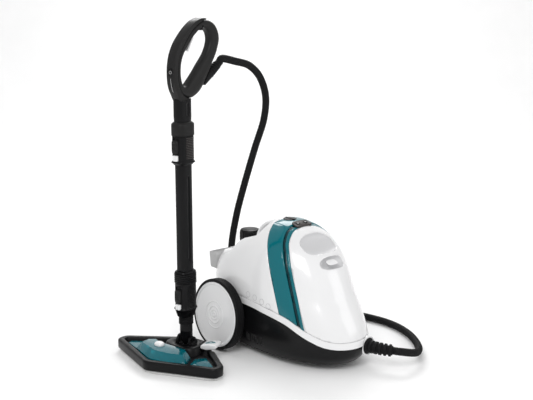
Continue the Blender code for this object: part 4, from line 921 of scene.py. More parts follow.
# %% Hose
SOCKET = (-0.0825, 0.6865)
SOCKET_RISE = math.radians(34.0)
rise = np.array((0.0, math.cos(SOCKET_RISE), math.sin(SOCKET_RISE)))
socket = np.array((0.0, -SOCKET[0], SOCKET[1]))
hose_start = by_wand(socket + rise * 0.0503)
hose_rise = by_wand(rise) - by_wand(np.zeros(3))
HOSE_ROUTE = (
    (-0.062, 0.176, 0.7165), (-0.008, 0.187, 0.7020), (0.036, 0.197, 0.6680), (0.064, 0.208, 0.6150),
    (0.067, 0.220, 0.5530), (0.052, 0.236, 0.4830), (0.036, 0.256, 0.3960), (0.022, 0.278, 0.3000),
    (0.014, 0.292, 0.2100), (0.020, 0.300, 0.1300), (0.042, 0.306, 0.0620), (0.082, 0.306, 0.0230),
    (0.134, 0.292, 0.0125), (0.182, 0.262, 0.0112), (0.218, 0.214, 0.0110), (0.244, 0.155, 0.0110),
    (0.264, 0.095, 0.0110), (0.279, 0.038, 0.0110), (0.288, -0.020, 0.0110), (0.283, -0.075, 0.0115),
    (0.263, -0.130, 0.0130), (0.235, -0.176, 0.0160), (0.203, -0.216, 0.0200), (0.168, -0.250, 0.0260),
    (0.130, -0.270, 0.0330),
)
route = [hose_start, hose_start + hose_rise * 0.008, hose_start + hose_rise * 0.022]
route += list(by_canister(HOSE_ROUTE))
route += [boot_end + boot_look * d for d in (0.018, 0.006, 0.0003)]
middle = through(route, 24)
hose_length = float(np.linalg.norm(np.diff(middle, axis=0), axis=1).sum())
RING_PITCH = 0.0033
rows = 5 * int(round(hose_length / RING_PITCH))
middle = evenly(middle, rows + 1)
phase = np.arange(rows + 1) % 5
radii = HOSE_RADIUS - 0.0009 * np.array((1.0, 0.25, 0.0, 0.0, 0.25))[phase]
points, faces = pipe(middle, radii, 22)
hose = mesh_object("steam_hose", points, faces, RUBBER, smooth=0)
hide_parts("hose")
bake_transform(hose)
print("hose", round(hose_length, 3), "m")
report(hose)

# %% [markdown]
# ## The handle
# The grip is a closed loop that a hand goes through. Its section is a soft rectangle whose depth is the
# distance between the loop's inner and outer outlines at each angle, so one sweep makes the whole loop.

# %% Grip loop
GRIP_INNER = ((-0.065, 0.8045), (-0.084, 0.793), (-0.0885, 0.771), (-0.075, 0.743), (-0.050, 0.717),
              (-0.026, 0.690),
              (-0.006, 0.671), (0.0075, 0.679), (0.013, 0.706), (0.008, 0.735), (-0.010, 0.762),
              (-0.038, 0.790))
GRIP_OUTER = ((-0.070, 0.8225), (-0.106, 0.812), (-0.1225, 0.782), (-0.114, 0.748), (-0.095, 0.716),
              (-0.076, 0.686),
              (-0.053, 0.656), (-0.022, 0.642), (0.008, 0.652), (0.0235, 0.680), (0.0245, 0.710),
              (0.0185, 0.741),
              (0.000, 0.771), (-0.030, 0.803))
SPINE_OUTER = ((-0.074, 0.8262), (-0.060, 0.8268), (-0.041, 0.8215), (-0.020, 0.8080), (0.000, 0.7900),
               (0.018, 0.7690), (0.0305, 0.7450),
               (0.0365, 0.7180), (0.0370, 0.6900), (0.0330, 0.6680), (0.0250, 0.6520), (0.0180, 0.6380))
GRIP_HALF = 0.013
grip_middle = np.array((0.038, 0.738))


def side_view(line):
    """(forward, height) pairs to the wand's (y, z)."""
    return np.asarray(line, float) * (-1, 1)


def reach_round(line, angles):
    """How far a closed outline is from the grip's middle at each angle."""
    line = through(side_view(line), 16, closed=True) - grip_middle
    angle = np.arctan2(line[:, 1], line[:, 0])
    order = np.argsort(angle)
    return np.interp(angles, angle[order], np.hypot(*line[order].T), period=TAU)


angles = np.arange(240) * TAU / 240 - math.pi
inner_reach, outer_reach = reach_round(GRIP_INNER, angles), reach_round(GRIP_OUTER, angles)
section = rounded_box_line(1.0, 1.0, 3.0, 32)
out = (inner_reach + outer_reach)[:, None] / 2 + (outer_reach - inner_reach)[:, None] / 2 * section[None, :,
                                                                                                    1]
rings = np.stack([GRIP_HALF * section[None, :, 0] + 0 * out, grip_middle[0] + out * np.cos(angles)[:, None],
                  grip_middle[1] + out * np.sin(angles)[:, None]], axis=-1)
points, faces = loft(rings, False, wrap_rows=True)
grip = mesh_object("grip_loop", by_wand(points), faces, GRAPHITE, "wand")
outer_line = np.stack([grip_middle[0] + (outer_reach + SEAM / 2) * np.cos(angles),
                       grip_middle[1] + (outer_reach + SEAM / 2) * np.sin(angles)], axis=1)
grip_room = prism(outer_line[::2], -0.05, 0.05)
print("grip", len(grip.data.polygons))

# %% [markdown]
# A second moulding, the spine, wraps the front of the loop and runs down into the neck. The trigger
# sits under its upper end, the locking slide above it, and a round button faces the user's thumb.

# %% Spine, neck and controls
front = through(side_view(SPINE_OUTER), 5)
back_edge = side_view(((0.000, 0.638), (-0.03, 0.70), (-0.03, 0.74), (-0.060, 0.800)))
spine_outline = np.vstack([front, back_edge])
points, faces = prism(spine_outline, -GRIP_HALF, GRIP_HALF)
spine = mesh_object("grip_spine", by_wand(points), faces, GRAPHITE, "wand")
cut(spine, grip_room, "DIFFERENCE", by_wand)
soften(spine, 0.0032, 4, 40)


def ovals(rows, count=72, power=3.2):
    """Rings of a superellipse column: height, half sizes and shift for each."""
    return loft([np.column_stack([rounded_box_line(a, b, power, count) + (0, shift), np.full(count, z)])
                 for z, a, b, shift in rows])


neck_z = np.linspace(0.5883, 0.664, 24)
neck_rows = [(z, float(np.interp(z, (0.588, 0.600, 0.6375, 0.664), (0.0145, 0.0150, 0.0148, 0.0126))),
              float(np.interp(z, (0.588, 0.600, 0.6375, 0.664), (0.0210, 0.0220, 0.0220, 0.0210))),
              float(np.interp(z, (0.6375, 0.664), (0.0, 0.006)))) for z in neck_z]
points, faces = ovals(neck_rows)
neck = mesh_object("handle_stem", by_wand(points), faces, BLACK, "wand")
cut(neck, grip_room, "DIFFERENCE", by_wand)
cut(neck, prism(spine_outline + np.sign(spine_outline - (0.0, 0.70)) * (0.0004, 0.0), -0.05, 0.05),
    "DIFFERENCE", by_wand)
for side in (-1, 1):
    low, high = sorted((side * 0.0136, side * 0.03))
    cut(neck, prism(rounded_box_line(0.0050, 0.0150, 2.6, 40) + (0.004, 0.6175), low, high), "DIFFERENCE",
        by_wand)


def tilted(points, pivot, angle):
    """Points of a lever to the wand's frame: turned about X, then moved to the pivot."""
    return by_wand(np.asarray(points, float) @ about_x(angle) + pivot)


TRIGGER_AT, TRIGGER_LEAN = (0, 0.0345, 0.7815), math.radians(-30.0)


def at_trigger(points):
    return tilted(points, TRIGGER_AT, TRIGGER_LEAN)


blade_rows = [(z, 0.0055, 0.0035 - 0.0004 * (1 - u) - 0.0008 * math.sin(math.pi * u),
               -0.0004 * math.sin(math.pi * u))
              for z, u in zip(np.linspace(-0.034, 0.002, 16), np.linspace(0, 1, 16))]
points, faces = ovals(blade_rows, 40)
trigger = mesh_object("trigger_blade", at_trigger(points), faces, WHITE, "trigger")
soften(trigger, 0.0006, 2, 50)
for angle, front_y in ((TRIGGER_LEAN - math.radians(12), -0.0125), (TRIGGER_LEAN, -0.0045)):
    room = prism(((front_y, -0.037), (0.006, -0.037), (0.006, 0.005), (front_y, 0.005)), -0.0065, 0.0065)
    for obj in (grip, spine):
        cut(obj, room, "DIFFERENCE", lambda p: tilted(p, TRIGGER_AT, angle))
LOCK_AT = np.array((0, 0.0605, 0.8060))
lock_room = prism(((-0.0038, -0.0080), (0.0038, -0.0080), (0.0038, 0.0040), (-0.0038, 0.0040)), -0.0145,
                  0.0145)
cut(grip, lock_room, "DIFFERENCE", lambda p: by_wand(p + LOCK_AT))
ribs = through(((-0.0034, -0.0073), (0.0034, -0.0073), (0.0035, 0.0033), (-0.0035, 0.0033)), 1, True)
points, faces = prism(ribs, -0.010, 0.010)
lock = mesh_object("lock_slide", by_wand(points + LOCK_AT), faces, BLACK, "lock")
for k in range(-3, 4):
    groove = prism(rounded_box_line(0.0045, 0.0008, 2, 12), k * 0.0024 - 0.0006, k * 0.0024 + 0.0006)
    cut(lock, groove, "DIFFERENCE", lambda p: by_wand(p + LOCK_AT + (0, 0, 0.0036)))
BUTTON_AT = np.array((0, -0.0370, 0.7060))
cut(spine, lathe(((0.0075, -0.02), (0.0075, 0.0095)), BUTTON_AT, (0, 1, 0), 48), "DIFFERENCE", by_wand)
button_profile = ((0.0069, 0.0068), (0.0070, 0.0062), (0.0070, 0.0002), (0.0066, -0.0004), (0.0056, -0.0006),
                  (0.0050, -0.0002), (0.0020, -0.0002), (0.0004, -0.0002))
points, faces = lathe(button_profile, BUTTON_AT, (0, 1, 0), 64)
button = mesh_object("thumb_button", by_wand(points), faces, GRAPHITE, "function_key")
points, faces = lathe(((0.0098, 0.004), (0.0098, 0.0003), (0.0092, -0.0004), (0.0080, -0.0004),
                       (0.0077, 0.0004),
                       (0.0077, 0.004)), BUTTON_AT, (0, 1, 0), 64, closed=True)
bezel = mesh_object("thumb_bezel", by_wand(points), faces, BLACK, "wand")
cut(bezel, prism(spine_outline, -GRIP_HALF, GRIP_HALF), "DIFFERENCE", by_wand)
drop_z = np.linspace(0.6915, 0.6600, 14)
drop_y = np.interp(drop_z, front[::-1, 1], front[::-1, 0])
drop = pipe(np.column_stack([np.full(14, 0.0), drop_y + 0.0002, drop_z]), np.full(14, 0.0006), 10)
mesh_object("spine_line", by_wand(drop[0]), drop[1], LIGHT_GREY, "wand")
mark = lathe(((0.0030, -0.0008), (0.0034, -0.00095), (0.0038, -0.0008), (0.0034, -0.0002)), BUTTON_AT,
             (0, 1, 0), 40, closed=True)
mesh_object("thumb_mark", by_wand(mark[0]), mark[1], LIGHT_GREY, "function_key")
sleeve_along = np.linspace(-0.016, 0.050, 200)
sleeve_tail = np.clip(sleeve_along - 0.012, 0, None)
sleeve_radii = np.where(sleeve_along < 0.012, 0.0118, ringed(sleeve_tail, 0.0125, 0.0108, 0.0076, 0.86, 1.0,
                                                             0.0016))
points, faces = pipe(socket + sleeve_along[:, None] * rise, sleeve_radii, 48)
sleeve = mesh_object("handle_sleeve", by_wand(points), faces, RUBBER, "wand")
cut(sleeve, grip_room, "DIFFERENCE", by_wand)
for made, node in ((grip, "handle_grip"), (spine, "handle_spine"), (neck, "handle_neck"),
                   (trigger, "steam_trigger"),
                   (lock, "trigger_lock"), (button, "function_button"), (sleeve, "handle_boot")):
    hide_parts(node)
report(grip, spine, neck, trigger, lock, button, bezel, sleeve)

# %% [markdown]
# ## Tube and connectors
# The extension is an oval tube with a long groove down each side. Each end has a block with a sliding
# catch, a push release under it and a ribbed grip on its sides. The lower one ends in a ringed cone.

# %% Tube, collar, connectors
TUBE_A, TUBE_B = 0.016, 0.019
CON_A, CON_B = 0.020, 0.025
points, faces = ovals([(z, TUBE_A, TUBE_B, 0.0) for z in np.linspace(0.2243, 0.4852, 30)])
tube = mesh_object("extension_tube", by_wand(points), faces, BLACK, "wand")
for side in (-1, 1):
    low, high = sorted((side * (TUBE_A - 0.0015), side * (TUBE_A + 0.01)))
    cut(tube, prism(rounded_box_line(0.0035, 0.105, 6, 64) + (0, 0.3535), low, high), "DIFFERENCE", by_wand)


def connector(name, rows):
    """Block of oval rings: each row is a height and how far the outline is grown."""
    points, faces = ovals([(z, CON_A + grow, CON_B + grow, 0.0) for z, grow in rows], 80)
    return mesh_object(name, by_wand(points), faces, BLACK, "wand")


upper = connector("upper_block", ((0.4855, -0.003), (0.4885, -0.0008), (0.4910, 0.0024), (0.4920, 0.0025),
                                  (0.4935, 0.0018),
                                  (0.4955, 0.0), (0.52, 0.0), (0.5545, 0.0), (0.5552, -0.0006)))
collar = connector("upper_ring", ((0.5556, 0.0008), (0.5562, 0.0015), (0.5700, 0.0015), (0.5822, 0.0015),
                                  (0.5840, 0.0009),
                                  (0.5870, -0.0018), (0.5880, -0.003)))
cone = [(0.1083 + 0.0020 * k + dz, -0.005 + 0.00055 * k + grow) for k in range(9) for dz, grow in
        ((0.0, 0.0004), (0.0008, 0.0010), (0.0014, 0.0))]
rings_z = [(0.1950 + 0.0048 * k + dz, grow) for k in range(5) for dz, grow in
           ((0.0, -0.0004), (0.0008, 0.0012), (0.0030, 0.0014), (0.0038, -0.0004))]
lower = connector("lower_block", cone + [(0.1270, 0.0012), (0.1280, 0.0024), (0.1290, 0.0025),
                                         (0.1303, 0.0020),
                                         (0.1335, 0.0), (0.17, 0.0), (0.1930, 0.0),
                                         (0.1940, -0.001)] + rings_z
                  + [(0.2200, 0.0006), (0.2225, -0.0004), (0.2240, -0.002)])
hook = ((0.023, 0.150), (0.029, 0.150), (0.029, 0.180), (0.036, 0.188), (0.033, 0.192), (0.023, 0.184))
cut(lower, prism(hook, -0.004, 0.004), "UNION", by_wand)
collar.data.materials[0] = GRAPHITE
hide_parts("wand_tube")
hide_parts("upper_connector")
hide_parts("upper_collar")
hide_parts("lower_connector")


def plate(half_x, half_z, front, back, count=48):
    """A push plate with a crowned face: rings along Y, drawn in towards the face."""
    rows = ((back, 1.0), (front + 0.0012, 1.0), (front + 0.0004, 0.97), (front, 0.90), (front - 0.0004, 0.5))
    outline = rounded_box_line(1.0, 1.0, 5, count)
    return loft([np.column_stack([outline[:, 0] * half_x * k, np.full(count, y), outline[:, 1] * half_z * k])
                 for y, k in rows])


for label, block, middle_z, low_z, panel_z, rib_count, finish_of in (("upper", upper, 0.53, 0.5135, 0.526,
                                                                      13, PANEL_GREY),
                                                                     ("lower", lower, 0.1625, 0.146, 0.161,
                                                                      14, BLACK)):
    slide_at = np.array((0.0, -CON_B, middle_z))
    push_at = np.array((0.0, -CON_B, low_z - 0.0105))
    cut(block, prism(((-0.03, -0.0175), (0.0033, -0.0175), (0.0033, 0.0235), (-0.03, 0.0235)), -0.0093,
                     0.0093),
        "DIFFERENCE", lambda p: by_wand(p + slide_at))
    cut(block, prism(((-0.02, -0.0073), (0.0056, -0.0073), (0.0056, 0.0073), (-0.02, 0.0073)), -0.0078,
                     0.0078),
        "DIFFERENCE", lambda p: by_wand(p + push_at))
    points, faces = plate(0.009, 0.0165, -0.0051, 0.003)
    slide = mesh_object(label + "_catch_plate", by_wand(points + slide_at), faces, GRAPHITE, label + "_catch")
    for k in range(5):
        groove = prism(rounded_box_line(0.0009, 0.0007, 2, 12) + (-0.0058, 0.0030 * k - 0.004), -0.0065,
                       0.0065)
        cut(slide, groove, "DIFFERENCE", lambda p: by_wand(p + slide_at))
    points, faces = plate(0.0075, 0.0070, -0.0046, 0.003)
    push = mesh_object(label + "_push_plate", by_wand(points + push_at), faces, WHITE, label + "_push")
    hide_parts(label + "_latch")
    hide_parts(label + "_release")
    for side in (-1, 1):
        bars = []
        for k in range(rib_count):
            z = panel_z + 0.0040 * (k - (rib_count - 1) / 2)
            spread = np.linspace(-0.0095, 0.0195, 16)
            at_x = CON_A * (1 - (np.abs(spread) / CON_B) ** 3.2) ** (1 / 3.2)
            path = np.stack([side * (at_x + 0.0001), spread, np.full(16, z)], axis=1)
            bars.append(pipe(path, np.full(16, 0.0011) * np.sin(np.linspace(0.35, math.pi - 0.35,
                                                                            16)) ** 0.4, 10))
        points = np.vstack([b[0] for b in bars])
        offsets = np.cumsum([0] + [len(b[0]) for b in bars])
        faces = [[int(v + offsets[k]) for v in face] for k, b in enumerate(bars) for face in b[1]]
        mesh_object(f"{label}_grip_ribs_{'a' if side < 0 else 'b'}", by_wand(points), faces, finish_of,
                    "wand")
    report(block, slide, push)

# %% Bellows and neck
folds = [(0.0160, 0.0878)]
for k in range(5):
    z = 0.0878 + k * 0.00400
    folds += [(0.0178, z + 0.0006), (0.0182, z + 0.0014), (0.0178, z + 0.0022), (0.0162, z + 0.0030),
              (0.0160, z + 0.0035)]
folds.append((0.0162, 0.1080))
points, faces = lathe(folds, by_wand((0, 0, 0)), (0, 0, 1), 72)
bellows = mesh_object("joint_bellows", points, faces, RUBBER, "wand")
PIVOT_Z = 0.046
neck_profile = ((0.0040, PIVOT_Z - 0.0105), (0.0075, PIVOT_Z - 0.0105), (0.0146, PIVOT_Z - 0.0005),
                (0.0155, PIVOT_Z + 0.0010), (0.0155, 0.0700), (0.0158, 0.0704), (0.0158, 0.0720),
                (0.0155, 0.0724),
                (0.0155, 0.0872))
points, faces = lathe(neck_profile, by_wand((0, 0, 0)), (0, 0, 1), 64)
joint_pipe = mesh_object("joint_pipe", points, faces, BLACK, "wand")
trunnion = lathe(((0.0030, -0.0220), (0.0030, 0.0220)), (0, 0, PIVOT_Z), (1, 0, 0), 32)
cut(joint_pipe, trunnion, "UNION", by_wand)
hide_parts("neck_bellows")
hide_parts("brush_neck")
report(bellows, joint_pipe)

# %% [markdown]
# ## Floor brush
# An arrow-shaped plate with a raised rim round a shallow tray. In the tray lie the hump that holds the
# swivel, two tinted inserts, the small clear tank with its cap, and the pedal to one side.

# %% Plate and pad
TIPS = 0.168
PLAN = ((0.145, 0.0), (0.078, 1.0), (0.048, 1.0), (-0.050, 0.17))
right = [(share * TIPS, -forward) for forward, share in PLAN]
plan = np.array(right + [(-x, y) for x, y in right[::-1] if x > 0])
CORNER_POINTS = 9


def plan_line(inset, corner=0.0):
    """The plan moved in square to its edges, its corners then rounded, each by a quadratic curve."""
    ahead = np.roll(plan, -1, axis=0) - plan
    ahead /= np.linalg.norm(ahead, axis=1)[:, None]
    normal = np.stack([-ahead[:, 1], ahead[:, 0]], axis=1)
    before = np.roll(normal, 1, axis=0)
    line = plan + inset * (before + normal) / (1 + np.sum(before * normal, axis=1))[:, None]
    if not corner:
        return line
    ahead, length = np.roll(line, -1, axis=0) - line, np.linalg.norm(np.roll(line, -1, axis=0) - line, axis=1)
    share = np.minimum(corner / length, 0.4)[:, None]
    start, end = line + ahead * share, line + ahead * (1 - share)
    arcs = []
    for k in range(len(line)):
        u = np.linspace(0, 1, CORNER_POINTS)[:, None]
        arcs.append((1 - u) ** 2 * end[k - 1] + 2 * u * (1 - u) * line[k] + u**2 * start[k])
    return np.vstack(arcs)


def stack(rows):
    """Plan outlines at rising heights: each row is a height, an inset and a corner size."""
    return loft([np.column_stack([plan_line(inset, corner), np.full(len(plan) * CORNER_POINTS, z)]) for z,
                 inset, corner in rows])


rows = ((0.0080, 0.0030, 0.010), (0.0092, 0.0010, 0.011), (0.0120, 0.0, 0.012), (0.0280, 0.0, 0.012),
        (0.0302, 0.0008, 0.012),
        (0.0315, 0.0022, 0.012), (0.0320, 0.0042, 0.012))
points, faces = stack(rows)
plate_obj = mesh_object("brush_plate", by_wand(points), faces, BLACK, "brush")
well_rows = ((0.0200, 0.0165, 0.010), (0.0208, 0.0160, 0.010), (0.0290, 0.0156, 0.010),
             (0.0312, 0.0140, 0.010),
             (0.0330, 0.0110, 0.010))
cut(plate_obj, stack(well_rows), "DIFFERENCE", by_wand)


def by_pedal(points):
    """Places round the pedal to world places: turned about the wand's axis to the pedal's side."""
    c, s = math.cos(PEDAL_TURN), math.sin(PEDAL_TURN)
    return by_wand(np.asarray(points, float) @ np.array(((c, s, 0), (-s, c, 0), (0, 0, 1))))


PEDAL_OUT, PEDAL_TURN = 0.045, math.radians(-72.0)
well = ((PEDAL_OUT - 0.0045, 0.0202), (0.15, 0.0202), (0.15, 0.1), (PEDAL_OUT - 0.0045, 0.1))
cut(plate_obj, prism(well, -0.020, 0.020), "DIFFERENCE", by_pedal)
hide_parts("brush_base")
report(plate_obj)


def pile(points):
    """Cloth pile: each point moves by a sum of short waves, most at the edge, where the loops stand free."""
    x, y, z = points.T
    wave = np.sin(410 * x + 3 * np.sin(290 * y)) * np.sin(370 * y + 2 * np.sin(330 * x))
    edge = np.clip((0.0077 - z) / 0.006, 0, 1)
    flat = points[:, :2]
    size = np.linalg.norm(flat, axis=1)[:, None]
    return np.column_stack([flat + flat / np.maximum(size, 0.01) * (0.0007 * wave * edge)[:, None],
                            np.clip(z + 0.0002 * wave * edge, 0.0, None)])


def fine_line(inset, corner, count=900):
    return evenly(plan_line(inset, corner), count, closed=True)


pad_rows = ((0.0, 0.0120, 0.016), (0.0, 0.0090, 0.016), (0.0008, 0.0062, 0.016), (0.0022, 0.0046, 0.016),
            (0.0040, 0.0042, 0.016),
            (0.0056, 0.0048, 0.016), (0.0070, 0.0064, 0.016), (0.0077, 0.0080, 0.016),
            (0.0077, 0.0120, 0.016))
rings = [np.column_stack([fine_line(inset, corner), np.full(900, z)]) for z, inset, corner in pad_rows]
points, faces = loft(rings)
pad = mesh_object("mop_pad", by_wand(pile(points)), faces, None, "brush")
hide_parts("brush_pad")
report(pad)

# %% Hump and inserts
hump_rows = [(0.0203 + 0.0197 * h, 0.055 - 0.008 * s, 0.040 - 0.006 * s, -0.004) for h, s in
             ((0, 0), (0.3, 0.25), (0.7, 0.6), (0.92, 0.9), (0.98, 1.1), (1.0, 1.5))]
points, faces = ovals(hump_rows, 96, 3.0)
hump = mesh_object("swivel_hump", by_wand(points), faces, BLACK, "brush")
cut(hump, lathe(((0.0277, 0.0), (0.0277, 0.1)), (0, 0, 0), (0, 0, 1), 96), "DIFFERENCE", by_wand)
cut(hump, prism(plan_line(0.0168), 0.0, 0.1, "Z"), "INTERSECT", by_wand)
cut(hump, prism(((PEDAL_OUT - 0.0025, 0.0), (0.15, 0.0), (0.15, 0.1), (PEDAL_OUT - 0.0025, 0.1)), -0.021,
                0.021), "DIFFERENCE",
    by_pedal)
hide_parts("brush_hump")
inserts = (("left", ((-0.094, -0.082), (-0.138, -0.066), (-0.138, -0.054), (-0.094, -0.026))),
           ("right", ((0.088, -0.083), (0.138, -0.066), (0.138, -0.054), (0.086, -0.022), (0.070, -0.044))))
for label, insert_line in inserts:
    insert_line = np.array(insert_line)
    middle_of = insert_line.mean(axis=0)
    rings = [np.column_stack([middle_of + (insert_line - middle_of) * k, np.full(len(insert_line), z)])
             for z, k in ((0.0203, 1.0), (0.0238, 1.0), (0.0245, 0.96))]
    points, faces = loft(rings)
    insert = mesh_object(label + "_window", by_wand(points), faces, TEAL_CLEAR, "brush",
                         smooth=math.radians(30))
    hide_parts(label + "_insert")

# %% Tank, cap, turret and pedal
foot = np.array(((-0.050, -0.0475), (-0.064, -0.034), (-0.086, -0.048), (-0.086, -0.088), (-0.014, -0.117),
                 (0.034, -0.110), (0.078, -0.087), (0.062, -0.052), (0.050, -0.0475)))
crown = np.array(((-0.046, -0.051), (-0.063, -0.043), (-0.077, -0.054), (-0.075, -0.079), (-0.012, -0.099),
                  (0.030, -0.094), (0.064, -0.079), (0.054, -0.058), (0.044, -0.051)))
rows = ((0.0203, foot), (0.0283, foot), (0.0440, crown))
rings = [np.column_stack([line, np.full(9, z)]) for z, line in rows]
points, faces = loft(rings)
tank = mesh_object("clear_tank", by_wand(points), faces, TEAL_CLEAR, "brush", smooth=math.radians(30))
soften(tank, 0.0024, 4, 20)
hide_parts("steam_tank")
TANK_CAP_AT = np.array((-0.026, -0.068, 0.0443))
rows = ((0.0, 1.0), (0.0036, 1.0), (0.0046, 0.96), (0.0066, 0.80), (0.0073, 0.70), (0.0075, 0.55))
rings = []
for z, k in rows:
    ring = rounded_box_line(0.013 * k, 0.011 * k, 2.2, 96)
    notch = 1 - 0.03 * (np.arange(96) % 8 < 2) * (z < 0.004)
    rings.append(np.column_stack([ring * notch[:, None], np.full(96, z)]) + TANK_CAP_AT)
points, faces = loft(rings)
tank_cap = mesh_object("tank_screw", by_wand(points), faces, WHITE, "brush_cap")
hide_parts("tank_cap")
TURRET_R, TURRET_LOW = 0.027, 0.0233
profile = ((TURRET_R, TURRET_LOW), (TURRET_R, 0.0318), (0.0263, 0.0327), (0.0250, 0.0330))
points, faces = lathe(profile, by_wand((0, 0, 0)), (0, 0, 1), 96)
turret = mesh_object("swivel_turret", points, faces, BLACK, "turret")
for side in (-1, 1):
    low, high = sorted((side * 0.0165, side * 0.0225))
    cheek = through(((0.012, 0.031), (0.0105, 0.050), (0.005, 0.0565), (-0.005, 0.0565), (-0.0105, 0.050),
                     (-0.012, 0.031)),
                    4, True)
    cheek = cheek[cheek[:, 1] > 0.030]
    cut(turret, prism(cheek, low, high), "UNION", by_wand)
cut(turret, lathe(((0.0033, -0.03), (0.0033, 0.03)), (0, 0, PIVOT_Z), (1, 0, 0), 32), "DIFFERENCE", by_wand)
cut(turret, lathe(((0.0085, PIVOT_Z - 0.0115), (0.0170, PIVOT_Z), (0.0170, PIVOT_Z + 0.02)), (0, 0, 0),
                  (0, 0, 1), 48),
    "DIFFERENCE", by_wand)
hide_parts("brush_turret")
PEDAL_AT = np.array((0, PEDAL_OUT, 0.037))
side_line = through(((0.0, -0.004), (0.0, 0.004), (0.020, 0.0095), (0.040, 0.010), (0.044, 0.004),
                     (0.038, -0.002),
                     (0.015, -0.006)), 1, True)
points, faces = prism(side_line, -0.018, 0.018)
pedal = mesh_object("pedal_lever", by_pedal(points + PEDAL_AT), faces, WHITE, "pedal")
soften(pedal, 0.0030, 4, 30)
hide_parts("brush_pedal")
leaf = through(((0.0, 0.006), (0.0065, 0.013), (0.0070, 0.022), (0.0, 0.034), (-0.0070, 0.022),
                (-0.0065, 0.013)), 8, True)
leaf_z = np.interp(leaf[:, 1], (0.0, 0.020, 0.040), (0.0042, 0.0097, 0.0102))
top = np.column_stack([leaf, leaf_z + 0.0003])
rings = [top - (0, 0, 0.0015), top, top * (0.9, 1, 1) + (0, 0, 0.0002)]
points, faces = loft(rings)
inlay = mesh_object("pedal_inlay", by_pedal(points + PEDAL_AT), faces, TEAL, "pedal")
report(hump, tank, tank_cap, turret, pedal, inlay)

# %% [markdown]
# ## Cloth of the pad
# Microfibre cloth is a dense pile of short loops. Close to, it reads as a fine cell pattern, with
# painted shade greying the gaps between the tufts, and a soft sheen at grazing angles.


# %% Pad cloth
def cloth(name, colour):
    """Cells for tufts, noise for unevenness, both in colour and height; grey at the cell edges is painted
    shade between the tufts.
    """
    made = bpy.data.materials.new(name)
    made.use_nodes = True
    nodes, links = made.node_tree.nodes, made.node_tree.links
    shader = nodes["Principled BSDF"]
    shader.inputs["Roughness"].default_value = 0.95
    shader.inputs["Sheen Weight"].default_value = 0.5
    shader.inputs["Sheen Roughness"].default_value = 0.4
    where = nodes.new("ShaderNodeTexCoord")
    tufts = nodes.new("ShaderNodeTexVoronoi")
    tufts.inputs["Scale"].default_value = 420.0
    uneven = nodes.new("ShaderNodeTexNoise")
    uneven.inputs["Scale"].default_value = 60.0
    uneven.inputs["Detail"].default_value = 5.0
    links.new(where.outputs["Object"], tufts.inputs["Vector"])
    links.new(where.outputs["Object"], uneven.inputs["Vector"])
    # Colour mix: distance from each tuft's middle gives painted shade between the tufts, and the noise adds
    # uneven tone.
    both = nodes.new("ShaderNodeMath")
    both.operation = "MULTIPLY_ADD"
    both.inputs[1].default_value = 0.7
    links.new(tufts.outputs["Distance"], both.inputs[0])
    links.new(uneven.outputs["Fac"], both.inputs[2])
    tint = nodes.new("ShaderNodeMix")
    tint.data_type = "RGBA"
    tint.inputs["A"].default_value = (*colour, 1)
    tint.inputs["B"].default_value = (*[c * 0.72 for c in colour], 1)
    links.new(both.outputs[0], tint.inputs["Factor"])
    links.new(tint.outputs["Result"], shader.inputs["Base Color"])
    height = nodes.new("ShaderNodeBump")
    height.invert = True
    height.inputs["Strength"].default_value = 0.7
    height.inputs["Distance"].default_value = 0.0012
    links.new(both.outputs[0], height.inputs["Height"])
    links.new(height.outputs["Normal"], shader.inputs["Normal"])
    return made


CLOTH = cloth("microfibre", (0.80, 0.80, 0.79))
pad.data.materials.append(CLOTH)
print("cloth on", pad.name)

# %% [markdown]
# ## Small marks on the casing
# Four small round guide marks stand in a row on the side of the rear shell. They are plain thin rings,
# printed grey, and hold no lettering.


# %% Guide marks
def side_point(y, z, lift=0.0001):
    """The point of the casing's left side at (y, z), and the way the surface faces there."""
    ring = casing_rings([z / BODY_TOP], 0.0, 512)[0]
    left = ring[ring[:, 0] < 0]
    left = left[np.argsort(left[:, 1])]
    x = np.interp([y - 0.002, y, y + 0.002], left[:, 1], left[:, 0])
    above = casing_rings([(z + 0.004) / BODY_TOP], 0.0, 512)[0]
    above = above[above[:, 0] < 0]
    above = above[np.argsort(above[:, 1])]
    rise_x = np.interp(y, above[:, 1], above[:, 0]) - x[1]
    along_y, along_z = np.array((x[2] - x[0], 0.004, 0)), np.array((rise_x, 0, 0.004))
    face = np.cross(along_z, along_y)
    face /= np.linalg.norm(face)
    face *= -1 if face[0] > 0 else 1
    return np.array((x[1], y, z)) + face * lift, face


for k, (y, z) in enumerate(((0.052, 0.156), (0.027, 0.1535), (0.002, 0.1485), (-0.0195, 0.1415))):
    place, face = side_point(y, z)
    points, faces = lathe(((0.0072, 0.0), (0.0073, 0.0002), (0.0070, 0.0003), (0.0065, 0.0003)),
                          by_canister(place), face, 40,
                          closed=True)
    mesh_object(f"guide_mark_{k}", points, faces, MARK, "canister")
print("marks made")

# %% [markdown]
# ## Pieces that come straight from the solid model
# What can only be glimpsed through an opening keeps its solid form, and gets a real finish.

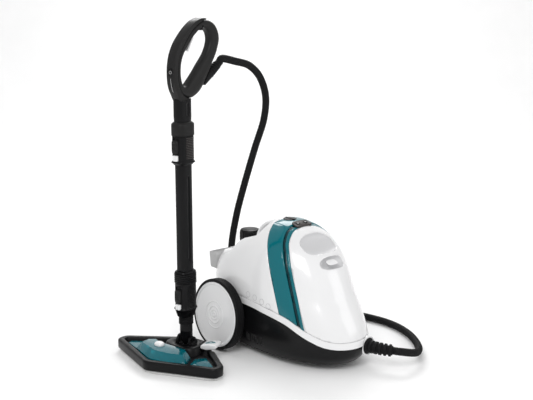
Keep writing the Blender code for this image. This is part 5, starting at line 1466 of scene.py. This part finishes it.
# %% Finishes for the rest
carried = {"filler_neck": BRASS, "boiler": STEEL, "water_tank": TEAL_CLEAR, "pump": BLACK}
for obj in list(bpy.context.scene.objects):
    if obj.type == "MESH" and not obj.hide_render and (obj.name in carried or "axle" in obj.name):
        obj.data.materials.clear()
        obj.data.materials.append(carried.get(obj.name, STEEL))
        print("finish on", obj.name)
SLOTS = {"white_gloss": "white_gloss", "white_satin_inside": "white_gloss", "teal_gloss": "teal_gloss",
         "teal_dark": "teal_dark", "teal_clear": "teal_clear", "black_satin": "black_satin",
         "black_gloss": "black_satin", "graphite_satin": "graphite", "rubber_matt": "black_rubber",
         "panel_warm_grey": "grey_panel", "light_grey_satin": "grey_light", "drawn_steel": "steel",
         "turned_brass": "brass", "microfibre": "cloth_white"}
for obj in bpy.context.scene.objects:
    if obj.type == "MESH" and not obj.hide_render and obj.data.materials and obj.data.materials[0]:
        label = obj.data.materials[0].name
        if label in SLOTS:
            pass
        else:
            print("no slot for", obj.name, label)

# %% [markdown]
# ## Floor and light
# A pale floor that curves up into the background, a large soft light from the upper left, a weaker one
# from the right and one behind, as in a plain product studio.

# %% Floor
sweep = np.array([(-3.0, 0.0), (1.6, 0.0)] + [(1.6 + 0.9 * math.sin(a), 0.9 - 0.9 * math.cos(a))
                                              for a in np.linspace(0.1, math.pi / 2, 12)] + [(2.5, 3.0)])
turn = np.array((-math.sin(EYE_AZIMUTH), math.cos(EYE_AZIMUTH)))
wide = np.array((turn[1], -turn[0]))
rows = [[(*(turn * y + wide * w), z - 0.0002) for y, z in sweep] for w in (-5.0, 5.0)]
points = np.array(rows).reshape(-1, 3)
floor = mesh_object("studio_floor", points, grid_faces(2, len(sweep), False),
                    moulded("paper", (0.97, 0.97, 0.97), 0.9, 0.02, 120.0),
                    smooth=0)


def softbox(name, place, size, power, aim):
    light = bpy.data.lights.new(name, "AREA")
    light.shape = "RECTANGLE"
    light.size, light.size_y = size
    light.energy = power
    made = bpy.data.objects.new(name, light)
    made.location = place
    made.rotation_euler = (Vector(aim) - Vector(place)).to_track_quat("-Z", "Y").to_euler()
    bpy.context.scene.collection.objects.link(made)
    return made


middle_of_all = (0.0, 0.0, 0.35)
softbox("key", (-1.9, -1.5, 2.3), (1.4, 1.4), 40, middle_of_all)
softbox("fill", (1.5, -2.2, 1.2), (1.6, 1.2), 10, middle_of_all)
softbox("rim", (1.2, 1.6, 2.1), (1.4, 0.9), 26, middle_of_all)
world = bpy.data.worlds.new("studio")
world.use_nodes = True
world.node_tree.nodes["Background"].inputs["Color"].default_value = (1.0, 1.0, 1.0, 1)
world.node_tree.nodes["Background"].inputs["Strength"].default_value = 0.62
bpy.context.scene.world = world
bpy.context.scene.view_settings.view_transform = "Standard"
print("floor and lights")
